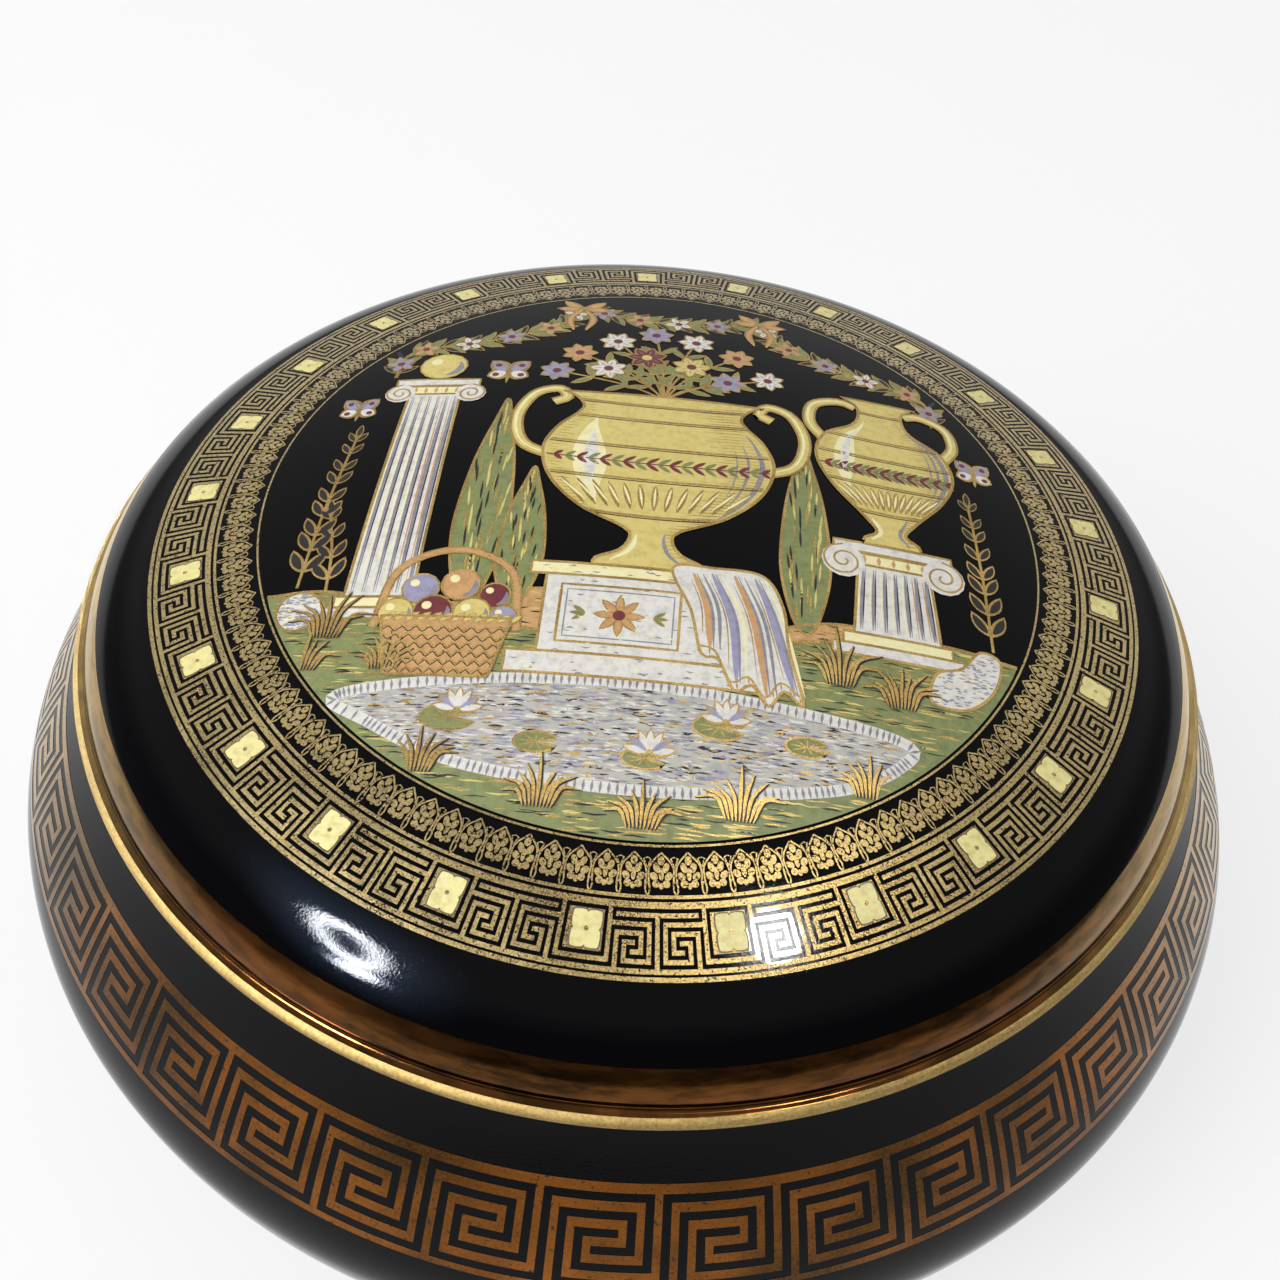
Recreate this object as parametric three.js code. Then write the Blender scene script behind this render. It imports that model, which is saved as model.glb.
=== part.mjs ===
// Round porcelain trinket box: a low hollow bowl, and a domed lid that rests on its shoulder
// and is kept central by an upright collar. Both pieces are turned about the Z axis.
// Millimetres, +Z up. The origin is the centre of the foot ring, on the table.

import * as THREE from 'three';

// Bowl, outside
const BELLY_RADIUS = 70;
const BELLY_HEIGHT = 25.4;
const BELLY_EASE = 6.5;
const SHOULDER_BULGE = 0.35;
const SEAT_RADIUS = 59.4;
const SEAT_HEIGHT = 46;
const SEAT_EDGE_ROUND = 0.6;

// Bowl, foot ring and inside
const FOOT_RADIUS = 45;
const FOOT_WIDTH = 3.6;
const FOOT_HEIGHT = 2.6;
const FOOT_EDGE_ROUND = 0.7;
const FOOT_FILLET = 0.8;
const BOWL_WALL = 4;
const BOWL_FLOOR = 4.4;

// Collar, the upright ring that stands inside the lid
const COLLAR_RADIUS = 53.2;
const COLLAR_WALL = 3;
const COLLAR_HEIGHT = 3.6;
const COLLAR_EDGE_ROUND = 0.9;
const COLLAR_FILLET = 0.4;

// Lid, outside: a domed panel, a round shoulder, a steep neck and a turned-out lip
const PANEL_RADIUS = 51.2;
const PANEL_HEIGHT = 8.5;
const DOME_RISE = 7.2;
const SHOULDER_FULLNESS = 3;
const NECK_RADIUS = 58.7;
const NECK_HEIGHT = 2.2;
const NECK_LEAN_DEGREES = 15;
const LIP_RADIUS = 60.1;
const LIP_THICKNESS = 1.5;
const LIP_FILLET = 0.5;

// Lid, inside
const LID_WALL = 3.8;
const LID_CORNER_ROUND = 2.6;
const LID_EDGE_ROUND = 0.5;

// Clearances of the lid on the bowl's seat and round its collar
const SEAT_CLEARANCE = 0.3;
const COLLAR_CLEARANCE = 0.6;

// Facets
const TURN_STEPS = 72;
const BELLY_STEPS = 8;
const SHOULDER_STEPS = 6;
const DOME_STEPS = 6;
const EDGE_STEPS = 3;

// Looks of the two glazed pieces
const BLACK_GLAZE = { color: 0x0d0d10, roughness: 0.08, metalness: 0 };

// A section is a list of points: x is the distance from the axis and y the height.
// It runs anticlockwise, from the axis out along the underside and back over the top.
const at = (radius, height) => new THREE.Vector2(radius, height);

// Arc about a centre between two angles in degrees. An oval has two different radii.
function arc(centre, across, up, from, to, steps) {
  return Array.from({ length: steps + 1 }, (_, i) => {
    const angle = THREE.MathUtils.degToRad(from + ((to - from) * i) / steps);
    return at(centre.x + across * Math.cos(angle), centre.y + up * Math.sin(angle));
  });
}

// Arc of one radius, as fine as an edge needs.
function edge(centre, radius, from, to) {
  return arc(centre, radius, radius, from, to, EDGE_STEPS);
}

// Points along a curve, moved by a distance to the left of its direction.
function beside(curve, distance, steps) {
  return Array.from({ length: steps + 1 }, (_, i) => {
    const along = curve.getTangent(i / steps);
    return curve.getPoint(i / steps).add(at(-along.y, along.x).multiplyScalar(distance));
  });
}

// Turns a section about the upright axis into one closed solid.
function turned(name, section, look) {
  const distinct = section.filter((p, i) => i === 0 || p.distanceTo(section[i - 1]) > 1e-3);
  const geometry = new THREE.LatheGeometry(distinct, TURN_STEPS);
  geometry.rotateX(Math.PI / 2);
  const mesh = new THREE.Mesh(geometry, new THREE.MeshStandardMaterial(look));
  mesh.name = name;
  return mesh;
}

// Outside of the bowl's shoulder, from the widest ring up to the edge of the seat.
function shoulderCurve() {
  const belly = at(BELLY_RADIUS, BELLY_HEIGHT);
  const top = at(SEAT_RADIUS, SEAT_HEIGHT - SEAT_EDGE_ROUND);
  const slope = top.clone().sub(belly);
  const outward = at(slope.y, -slope.x).normalize();
  const low = at(BELLY_RADIUS, BELLY_HEIGHT + BELLY_EASE);
  const high = top.clone().addScaledVector(slope, -0.3).addScaledVector(outward, SHOULDER_BULGE);
  return new THREE.CubicBezierCurve(belly, low, high, top);
}

// Recess and foot ring, out to the small fillet where the foot meets the bowl.
function footRing() {
  const inside = FOOT_RADIUS - FOOT_WIDTH;
  return [
    at(0, FOOT_HEIGHT),
    at(inside, FOOT_HEIGHT),
    ...edge(at(inside + FOOT_EDGE_ROUND, FOOT_EDGE_ROUND), FOOT_EDGE_ROUND, 180, 270),
    ...edge(at(FOOT_RADIUS - FOOT_EDGE_ROUND, FOOT_EDGE_ROUND), FOOT_EDGE_ROUND, 270, 360),
    ...edge(at(FOOT_RADIUS + FOOT_FILLET, FOOT_HEIGHT - FOOT_FILLET), FOOT_FILLET, 180, 90),
  ];
}

// Quarter oval between the foot and the widest ring, travelled outwards and up.
function underside(across, up) {
  return arc(at(FOOT_RADIUS, BELLY_HEIGHT), across, up, -90, 0, BELLY_STEPS);
}

// Flat seat with its round outer edge, then the collar over to its inner wall.
function seatAndCollar() {
  const inside = COLLAR_RADIUS - COLLAR_WALL;
  const roundHeight = SEAT_HEIGHT + COLLAR_HEIGHT - COLLAR_EDGE_ROUND;
  return [
    ...edge(at(SEAT_RADIUS - SEAT_EDGE_ROUND, SEAT_HEIGHT - SEAT_EDGE_ROUND), SEAT_EDGE_ROUND, 0, 90),
    ...edge(at(COLLAR_RADIUS + COLLAR_FILLET, SEAT_HEIGHT + COLLAR_FILLET), COLLAR_FILLET, 270, 180),
    ...edge(at(COLLAR_RADIUS - COLLAR_EDGE_ROUND, roundHeight), COLLAR_EDGE_ROUND, 0, 90),
    ...edge(at(inside + COLLAR_EDGE_ROUND, roundHeight), COLLAR_EDGE_ROUND, 90, 180),
  ];
}

// Hollow of the bowl: the mouth, the wide belly under the shoulder, and the flat floor.
function bowlHollow() {
  const inside = COLLAR_RADIUS - COLLAR_WALL;
  const mouth = SEAT_HEIGHT - BOWL_WALL;
  const floor = FOOT_HEIGHT + BOWL_FLOOR;
  const belly = underside(BELLY_RADIUS - FOOT_RADIUS - BOWL_WALL, BELLY_HEIGHT - floor);
  const shoulder = beside(shoulderCurve(), BOWL_WALL, SHOULDER_STEPS).filter((p) => p.y < mouth);
  return [
    ...edge(at(inside + COLLAR_EDGE_ROUND, mouth + COLLAR_EDGE_ROUND), COLLAR_EDGE_ROUND, 180, 270),
    ...shoulder.reverse(),
    ...belly.reverse(),
    at(0, floor),
  ];
}

function bowl() {
  const outside = underside(BELLY_RADIUS - FOOT_RADIUS, BELLY_HEIGHT - FOOT_HEIGHT);
  const section = [
    ...footRing(),
    ...outside.filter((p) => p.x > FOOT_RADIUS + FOOT_FILLET),
    ...shoulderCurve().getPoints(SHOULDER_STEPS),
    ...seatAndCollar(),
    ...bowlHollow(),
  ];
  return turned('bowl', section, BLACK_GLAZE);
}

// The panel is a shallow cap of a sphere. Its centre lies far below the lid.
const DOME_RADIUS = (PANEL_RADIUS ** 2 + DOME_RISE ** 2) / (2 * DOME_RISE);
const DOME_CENTRE = at(0, PANEL_HEIGHT + DOME_RISE - DOME_RADIUS);

// Part of the dome, or of its underside, from an angle in degrees up to another.
function dome(radius, from, to) {
  return arc(DOME_CENTRE, radius, radius, from, to, DOME_STEPS);
}

// Hollow of the lid, from the axis out and down the wall that passes round the collar.
function lidHollow() {
  const inside = COLLAR_RADIUS + COLLAR_CLEARANCE;
  const hollowRadius = DOME_RADIUS - LID_WALL;
  const reach = hollowRadius - LID_CORNER_ROUND;
  const cornerX = inside - LID_CORNER_ROUND;
  const corner = at(cornerX, DOME_CENTRE.y + Math.sqrt(reach ** 2 - cornerX ** 2));
  const angle = THREE.MathUtils.radToDeg(Math.acos(cornerX / reach));
  return [
    ...dome(hollowRadius, 90, angle),
    ...edge(corner, LID_CORNER_ROUND, angle, 0),
    ...edge(at(inside + LID_EDGE_ROUND, LID_EDGE_ROUND), LID_EDGE_ROUND, 180, 270),
  ];
}

// Half-round lip and the small hollow where it meets the neck.
function lip() {
  const half = LIP_THICKNESS / 2;
  return [
    ...arc(at(LIP_RADIUS - half, half), half, half, -90, 90, 2 * EDGE_STEPS),
    ...edge(at(NECK_RADIUS + LIP_FILLET, LIP_THICKNESS + LIP_FILLET), LIP_FILLET, 270, 180),
  ];
}

// Neck and shoulder of the lid, one sweep that meets the dome without a break.
function lidShoulder() {
  const lean = THREE.MathUtils.degToRad(NECK_LEAN_DEGREES);
  const fall = Math.asin(PANEL_RADIUS / DOME_RADIUS);
  const neck = at(NECK_RADIUS, NECK_HEIGHT);
  const rim = at(PANEL_RADIUS, PANEL_HEIGHT);
  const upward = at(-Math.sin(lean), Math.cos(lean)).multiplyScalar(SHOULDER_FULLNESS);
  const outward = at(Math.cos(fall), -Math.sin(fall)).multiplyScalar(SHOULDER_FULLNESS);
  const curve = new THREE.CubicBezierCurve(neck, neck.clone().add(upward), rim.clone().add(outward), rim);
  return curve.getPoints(SHOULDER_STEPS);
}

function lid() {
  const rimAngle = THREE.MathUtils.radToDeg(Math.acos(PANEL_RADIUS / DOME_RADIUS));
  const section = [
    ...lidHollow(),
    ...lip(),
    ...lidShoulder(),
    ...dome(DOME_RADIUS, rimAngle, 90),
  ];
  const mesh = turned('lid', section, BLACK_GLAZE);
  mesh.position.z = SEAT_HEIGHT + SEAT_CLEARANCE;
  return mesh;
}

const trinketBox = new THREE.Group();
trinketBox.add(bowl(), lid());

export default trinketBox;
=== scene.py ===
"""Looks of a round trinket box: black glazed porcelain with fired gold bands and an enamelled picture.

Lengths are millimetres until a mesh is written, in metres. +Z is up, the foot stands on the floor at
z = 0, and the photograph's camera looks along +Y, so the front of the box is at -90 degrees.
"""

from __future__ import annotations

import logging
import math
import random
from collections.abc import Sequence
from dataclasses import dataclass, field
from enum import Enum

import bpy
import numpy as np
from mathutils import Matrix, Quaternion, Vector
from mathutils.geometry import delaunay_2d_cdt


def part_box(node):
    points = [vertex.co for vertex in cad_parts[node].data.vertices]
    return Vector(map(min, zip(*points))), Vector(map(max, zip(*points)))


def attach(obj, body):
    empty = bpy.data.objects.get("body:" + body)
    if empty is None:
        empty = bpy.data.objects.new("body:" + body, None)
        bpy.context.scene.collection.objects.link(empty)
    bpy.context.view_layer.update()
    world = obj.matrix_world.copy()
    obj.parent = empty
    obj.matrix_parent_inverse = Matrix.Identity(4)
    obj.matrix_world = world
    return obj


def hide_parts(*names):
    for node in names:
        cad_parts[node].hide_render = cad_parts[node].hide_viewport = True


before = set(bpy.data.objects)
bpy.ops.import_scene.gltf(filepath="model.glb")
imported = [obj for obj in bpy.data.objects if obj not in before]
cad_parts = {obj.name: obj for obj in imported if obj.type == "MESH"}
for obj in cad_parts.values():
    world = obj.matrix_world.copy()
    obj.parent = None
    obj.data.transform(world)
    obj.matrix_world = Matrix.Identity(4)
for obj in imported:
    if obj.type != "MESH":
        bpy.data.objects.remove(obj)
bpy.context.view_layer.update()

MM = 0.001
TURN_STEPS = 288
EDGE_STEPS = 6

log = logging.getLogger("trinket_box")

Point = tuple[float, float]
Colour = tuple[float, float, float]
Outline = Sequence[Point]


def tone(red: int, green: int, blue: int) -> Colour:
    """Turns a colour from 0 to 255 on a screen into the linear one that a shader takes.

    Args:
        red: Red on the screen.
        green: Green on the screen.
        blue: Blue on the screen.

    Returns:
        The linear colour.
    """
    shares = (value / 255 for value in (red, green, blue))
    return tuple(s / 12.92 if s <= 0.04045 else ((s + 0.055) / 1.055) ** 2.4 for s in shares)


class Socket:
    """Output of a shader node. Arithmetic on it adds Math nodes to the same tree."""

    def __init__(self, shader: Shader, source: bpy.types.NodeSocket) -> None:
        """Keeps the tree and the output."""
        self.shader = shader
        self.source = source

    def math(self, operation: str, *operands: Socket | float) -> Socket:
        """Adds one Math node.

        Args:
            operation: The node's operation.
            operands: Its inputs, in order.

        Returns:
            The node's value.
        """
        settings = {"operation": operation}
        return self.shader.node("ShaderNodeMath", settings, dict(enumerate(operands)))

    def __add__(self, other: Socket | float) -> Socket:
        """Sum."""
        return self.math("ADD", self, other)

    def __radd__(self, other: float) -> Socket:
        """Sum, with the number first."""
        return self.math("ADD", other, self)

    def __sub__(self, other: Socket | float) -> Socket:
        """Difference."""
        return self.math("SUBTRACT", self, other)

    def __rsub__(self, other: float) -> Socket:
        """Difference, with the number first."""
        return self.math("SUBTRACT", other, self)

    def __mul__(self, other: Socket | float) -> Socket:
        """Product."""
        return self.math("MULTIPLY", self, other)

    def __rmul__(self, other: float) -> Socket:
        """Product, with the number first."""
        return self.math("MULTIPLY", other, self)

    def __truediv__(self, other: Socket | float) -> Socket:
        """Quotient."""
        return self.math("DIVIDE", self, other)

    def larger(self, other: Socket | float) -> Socket:
        """The larger of this and another value."""
        return self.math("MAXIMUM", self, other)

    def step(self, low: float, high: float) -> Socket:
        """Rises smoothly from 0 at one value to 1 at another.

        Args:
            low: Value up to which the result is 0.
            high: Value from which the result is 1.

        Returns:
            The share between them.
        """
        settings = {"interpolation_type": "SMOOTHSTEP"}
        inputs = {"Value": self, "From Min": low, "From Max": high}
        return self.shader.node("ShaderNodeMapRange", settings, inputs)


class Shader:
    """Node tree of a material or of the world, built from expressions."""

    def __init__(self, tree: bpy.types.NodeTree) -> None:
        """Empties the tree and keeps it."""
        tree.nodes.clear()
        self.tree = tree

    def node(
        self,
        kind: str,
        settings: dict[str, object],
        inputs: dict[str | int, object],
        output: str | int = 0,
    ) -> Socket:
        """Adds a node.

        Args:
            kind: Type of the node.
            settings: Properties of the node, set before its sockets.
            inputs: Values or links of its sockets, by name or number.
            output: Name or number of the output that is returned.

        Returns:
            That output, or the first input of a node that has none.
        """
        made = self.tree.nodes.new(kind)
        for name, value in settings.items():
            setattr(made, name, value)
        for name, value in inputs.items():
            if isinstance(value, Socket):
                self.tree.links.new(value.source, made.inputs[name])
            else:
                made.inputs[name].default_value = value
        return Socket(self, made.outputs[output] if made.outputs else made.inputs[0])

    def noise(
        self, size: float, detail: float = 2.0, roughness: float = 0.5, streak: float = 1.0
    ) -> Socket:
        """Smooth noise fixed to the piece.

        Args:
            size: Length of its waves in millimetres.
            detail: Number of finer layers.
            roughness: Strength of the finer layers.
            streak: How many times shorter the waves are up the piece than round it.

        Returns:
            Noise from 0 to 1.
        """
        place = self.node("ShaderNodeTexCoord", {}, {}, "Object")
        if streak != 1:
            squeeze = {0: place, 1: (1, 1, streak)}
            place = self.node("ShaderNodeVectorMath", {"operation": "MULTIPLY"}, squeeze)
        inputs = {"Vector": place, "Scale": 1 / (size * MM), "Detail": detail, "Roughness": roughness}
        return self.node("ShaderNodeTexNoise", {}, inputs)

    def length(self, across: Socket, up: Socket | float) -> Socket:
        """Length of a line from its two parts."""
        square = across * across + up * up
        return square.math("SQRT", square)

    def along(self, axis: str) -> Socket:
        """Place on the piece along an axis, in metres."""
        place = self.node("ShaderNodeTexCoord", {}, {}, "Object")
        return self.node("ShaderNodeSeparateXYZ", {}, {"Vector": place}, axis)

    def blend(self, share: Socket, low: Colour | Socket, high: Colour | Socket) -> Socket:
        """Mixes two colours.

        Args:
            share: Share of the second colour.
            low: First colour.
            high: Second colour.

        Returns:
            The mixed colour.
        """
        ends = [value if isinstance(value, Socket) else (*value, 1.0) for value in (low, high)]
        inputs = {"Factor": share, 6: ends[0], 7: ends[1]}
        return self.node("ShaderNodeMix", {"data_type": "RGBA"}, inputs, 2)

    def bump(self, height: Socket, depth: float) -> Socket:
        """Relief from a height.

        Args:
            height: Height from 0 to 1.
            depth: Millimetres that a height of 1 stands for.

        Returns:
            The bent normal.
        """
        return self.node("ShaderNodeBump", {}, {"Height": height, "Distance": depth * MM})

    def surface(self, inputs: dict[str | int, object]) -> Socket:
        """Adds the main surface shader.

        Args:
            inputs: Values or links of its sockets.

        Returns:
            The shader.
        """
        return self.node("ShaderNodeBsdfPrincipled", {}, inputs)

    def finish(self, shader: Socket, kind: str = "ShaderNodeOutputMaterial") -> None:
        """Connects a shader to the output of the tree."""
        self.node(kind, {}, {"Surface": shader})


def material(name: str) -> tuple[bpy.types.Material, Shader]:
    """Makes an empty material.

    Args:
        name: Name of the material.

    Returns:
        The material and its node tree.
    """
    made = bpy.data.materials.new(name)
    made.use_nodes = True
    return made, Shader(made.node_tree)


@dataclass(frozen=True)
class Glaze:
    """Glassy glaze with the faint waviness and the dust specks of a fired pot."""

    name: str
    colour: Colour
    dust: Colour
    roughness: float = 0.045
    specular: float = 0.1
    ripple_size: float = 0.24
    ripple_depth: float = 0.0065
    dust_size: float = 0.35

    def material(self) -> bpy.types.Material:
        """Builds the glaze.

        Returns:
            The material.
        """
        made, shader = material(self.name)
        specks = shader.noise(self.dust_size, 3.0, 0.6).step(0.72, 0.8)
        haze = shader.noise(self.ripple_size * 3, 3.0).step(0.35, 0.75)
        inputs = {
            "Base Color": shader.blend(specks, self.colour, self.dust),
            "Roughness": self.roughness + haze * 0.03 + specks * 0.2,
            "Specular IOR Level": self.specular,
            "Normal": shader.bump(shader.noise(self.ripple_size, 3.0, 0.6), self.ripple_depth),
        }
        shader.finish(shader.surface(inputs))
        return made


@dataclass(frozen=True)
class Gilding:
    """Fired gold: grains of light and dark, and pinholes where the black glaze shows.

    A gold that has a pale tone turns into it from the front of the box round to its sides and back.
    This is painted reflection and shade: the gold is painted darker at the front and paler round the sides
    and back.
    """

    name: str
    light: Colour
    dark: Colour
    roughness: float
    grain_size: float
    grain_depth: float
    pinholes: float
    coat: float = 0.0
    streak: float = 1.0
    cloud_size: float = 6.0
    cloud_share: float = 0.35
    # Painted reflection and shade: the tone that the gold is painted in round the sides and back, reached
    # between two places along y.
    pale: Colour | None = None
    pale_from: float = -50.0
    pale_to: float = -8.0
    under: Colour = (0.006, 0.005, 0.005)

    def material(self) -> bpy.types.Material:
        """Builds the gold.

        Returns:
            The material.
        """
        made, shader = material(self.name)
        grain = shader.noise(self.grain_size, 3.0, 0.65, self.streak)
        cloud = shader.noise(self.cloud_size, 3.0, 0.6, self.streak).step(0.3, 0.7)
        wear = shader.noise(self.grain_size * 1.7, 4.0, 0.7)
        tint = grain.step(0.36, 0.62) * (1 - self.cloud_share) + cloud * self.cloud_share
        colour = shader.blend(tint, self.dark, self.light)
        # Painted reflection and shade: darker gold at the front of the box, paler round its sides and back.
        if self.pale:
            painted_reflection_share = shader.along("Y").step(self.pale_from * MM, self.pale_to * MM)
            colour = shader.blend(painted_reflection_share * (0.55 + tint * 0.45), colour, self.pale)
        metal = {
            "Base Color": colour,
            "Metallic": 1.0,
            "Roughness": self.roughness + grain * 0.12 + cloud * 0.06 - 0.09,
            "Coat Weight": self.coat,
            "Normal": shader.bump(grain, self.grain_depth),
        }
        bare = {"Base Color": (*self.under, 1.0), "Roughness": 0.1, "Specular IOR Level": 0.3}
        holes = wear.step(1 - self.pinholes, 1.03 - self.pinholes)
        layers = {0: holes, 1: shader.surface(metal), 2: shader.surface(bare)}
        shader.finish(shader.node("ShaderNodeMixShader", {}, layers))
        return made


@dataclass(frozen=True)
class Enamel:
    """Opaque enamel, laid on in fine dots and fired, a little uneven in colour and gloss."""

    name: str
    colour: Colour
    mottle: Colour
    roughness: float = 0.32
    mottle_size: float = 0.9
    grain_size: float = 0.16
    grain_depth: float = 0.006

    def material(self) -> bpy.types.Material:
        """Builds the enamel.

        Returns:
            The material.
        """
        made, shader = material(self.name)
        patches = shader.noise(self.mottle_size, 4.0, 0.7).step(0.4, 0.72)
        grain = shader.noise(self.grain_size, 2.0)
        inputs = {
            "Base Color": shader.blend(patches * 0.7 + grain * 0.2, self.colour, self.mottle),
            "Roughness": self.roughness + grain * 0.15,
            "Specular IOR Level": 0.4,
            "Normal": shader.bump(grain, self.grain_depth),
        }
        shader.finish(shader.surface(inputs))
        return made


@dataclass(frozen=True)
class Bisque:
    """Unglazed porcelain: matt, fine-grained and slightly toned."""

    name: str
    colour: Colour
    shade: Colour

    def material(self) -> bpy.types.Material:
        """Builds the bare porcelain.

        Returns:
            The material.
        """
        made, shader = material(self.name)
        grain = shader.noise(0.25, 4.0, 0.7)
        inputs = {
            "Base Color": shader.blend(shader.noise(4.0, 4.0).step(0.35, 0.8), self.colour, self.shade),
            "Roughness": 0.72 + grain * 0.2,
            "Normal": shader.bump(grain, 0.02),
        }
        shader.finish(shader.surface(inputs))
        return made


BLACK_GLAZE = Glaze("black_glaze", tone(3, 3, 5), tone(30, 30, 34))
WHITE_GLAZE = Glaze("white_glaze", tone(232, 230, 224), tone(214, 210, 200), 0.07, 0.5)
BARE_PORCELAIN = Bisque("bare_porcelain", tone(222, 216, 204), tone(204, 196, 180))
# The pale tones of these golds are painted reflection and shade: each gold is painted darker at the front of
# the box and paler round its sides and back.
BAND_GOLD = Gilding(
    "band_gold",
    tone(176, 152, 96),
    tone(88, 68, 34),
    roughness=0.3,
    grain_size=0.14,
    grain_depth=0.018,
    pinholes=0.43,
    coat=1.0,
    pale=tone(216, 190, 124),
)
BOWL_GOLD = Gilding(
    "bowl_gold",
    tone(158, 96, 40),
    tone(52, 42, 24),
    roughness=0.22,
    grain_size=0.24,
    grain_depth=0.006,
    pinholes=0.4,
    cloud_size=19.0,
    cloud_share=0.8,
    pale=tone(204, 180, 134),
)
# The neck's dark orange-brown, streaky tones are painted reflection of the dark surroundings in front of the
# box.
NECK_GOLD = Gilding(
    "neck_gold",
    tone(112, 70, 33),
    tone(44, 32, 16),
    roughness=0.15,
    grain_size=4.0,
    grain_depth=0.004,
    pinholes=0.2,
    streak=5.0,
    cloud_size=24.0,
    cloud_share=0.5,
    pale=tone(214, 184, 122),
)
LIP_GOLD = Gilding(
    "lip_gold",
    tone(168, 144, 90),
    tone(136, 110, 64),
    roughness=0.64,
    grain_size=0.3,
    grain_depth=0.004,
    pinholes=0.28,
    pale=tone(208, 184, 128),
)
CREAM_ENAMEL = Enamel("cream_enamel", tone(238, 228, 158), tone(208, 190, 116))
# The brown rim round each cream square is painted shadow round the raised enamel.
SHADOW_RIM_ENAMEL = Enamel("shadow_rim_enamel", tone(86, 66, 32), tone(126, 104, 58))


class Paint(Enum):
    """Paints of the picture. Each value is the finish that it is fired with."""

    GOLD = Gilding("picture_gold", tone(226, 192, 118), tone(140, 108, 60), 0.36, 0.14, 0.01, 0.33)
    OCHRE = Enamel("ochre_enamel", tone(222, 204, 124), tone(200, 180, 98))
    CREAM = Enamel("pale_enamel", tone(244, 238, 190), tone(232, 220, 150))
    WHITE = Enamel("white_enamel", tone(232, 230, 222), tone(196, 190, 184))
    GREY = Enamel("grey_enamel", tone(148, 146, 154), tone(116, 114, 122))
    PEACH = Enamel("peach_enamel", tone(210, 164, 108), tone(182, 134, 86))
    GREEN = Enamel("green_enamel", tone(136, 144, 88), tone(104, 114, 68))
    WATER = Enamel("water_enamel", tone(196, 192, 178), tone(160, 160, 162))
    LILAC = Enamel("lilac_enamel", tone(160, 158, 184), tone(134, 132, 164))
    RED = Enamel("wine_enamel", tone(118, 44, 48), tone(88, 30, 36))
    BLACK = Enamel("black_enamel", tone(24, 20, 20), tone(32, 28, 28))


def arc(
    centre: Point, across: float, up: float, start: float, end: float, steps: int = EDGE_STEPS
) -> list[Point]:
    """Points on an upright oval.

    Args:
        centre: Middle of the oval.
        across: Half its width.
        up: Half its height.
        start: First angle in degrees.
        end: Last angle in degrees.
        steps: Number of steps between them.

    Returns:
        The points in order.
    """
    angles = (math.radians(start + (end - start) * i / steps) for i in range(steps + 1))
    return [(centre[0] + across * math.cos(a), centre[1] + up * math.sin(a)) for a in angles]


def oval(centre: Point, across: float, up: float, lean: float) -> list[Point]:
    """Points on a leaning oval.

    Args:
        centre: Middle of the oval.
        across: Half its width.
        up: Half its height.
        lean: Degrees by which it leans to the left.

    Returns:
        The points in order.
    """
    c, s = math.cos(math.radians(lean)), math.sin(math.radians(lean))
    line = arc((0.0, 0.0), across, up, 0, 360, 10)[:-1]
    return [(centre[0] + x * c - y * s, centre[1] + x * s + y * c) for x, y in line]


def bezier(corners: Sequence[Point], steps: int) -> list[Point]:
    """Points on a cubic curve.

    Args:
        corners: Its end points with the two handles between them.
        steps: Number of steps.

    Returns:
        The points in order.
    """
    weights = ((1 - t, t) for t in (i / steps for i in range(steps + 1)))
    shares = [(a**3, 3 * a * a * b, 3 * a * b * b, b**3) for a, b in weights]
    return [tuple(sum(s * c[k] for s, c in zip(share, corners)) for k in (0, 1)) for share in shares]


def toward(place: Point, degrees: float, distance: float) -> Point:
    """Moves a point.

    Args:
        place: The point.
        degrees: Direction of the move.
        distance: Length of the move.

    Returns:
        The moved point.
    """
    angle = math.radians(degrees)
    return place[0] + distance * math.cos(angle), place[1] + distance * math.sin(angle)


def outward(line: Sequence[Point], distance: float) -> list[Point]:
    """Moves each point of a line to the right of the line's direction.

    Args:
        line: The line.
        distance: Length of the move.

    Returns:
        The moved line.
    """
    points = np.array(line)
    steps = np.gradient(points, axis=0)
    sides = np.stack([steps[:, 1], -steps[:, 0]], 1) / np.linalg.norm(steps, axis=1)[:, None]
    return [tuple(p) for p in points + distance * sides]


def write_mesh(
    name: str,
    points: np.ndarray,
    faces: Sequence[Sequence[int]],
    look: bpy.types.Material,
    normals: np.ndarray | None = None,
) -> bpy.types.Object:
    """Makes a mesh object.

    Args:
        name: Name of the piece.
        points: Its points in millimetres.
        faces: Its faces, as point numbers.
        look: Its material.
        normals: Shading normals of the points, if they are known.

    Returns:
        The object, in metres.
    """
    mesh = bpy.data.meshes.new(name)
    mesh.from_pydata((points * MM).tolist(), [], faces)
    mesh.shade_smooth()
    if normals is None:
        mesh.set_sharp_from_angle(angle=math.radians(35))
    else:
        mesh.normals_split_custom_set_from_vertices(normals.tolist())
    mesh.materials.append(look)
    piece = bpy.data.objects.new(name, mesh)
    bpy.context.scene.collection.objects.link(piece)
    return piece


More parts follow.
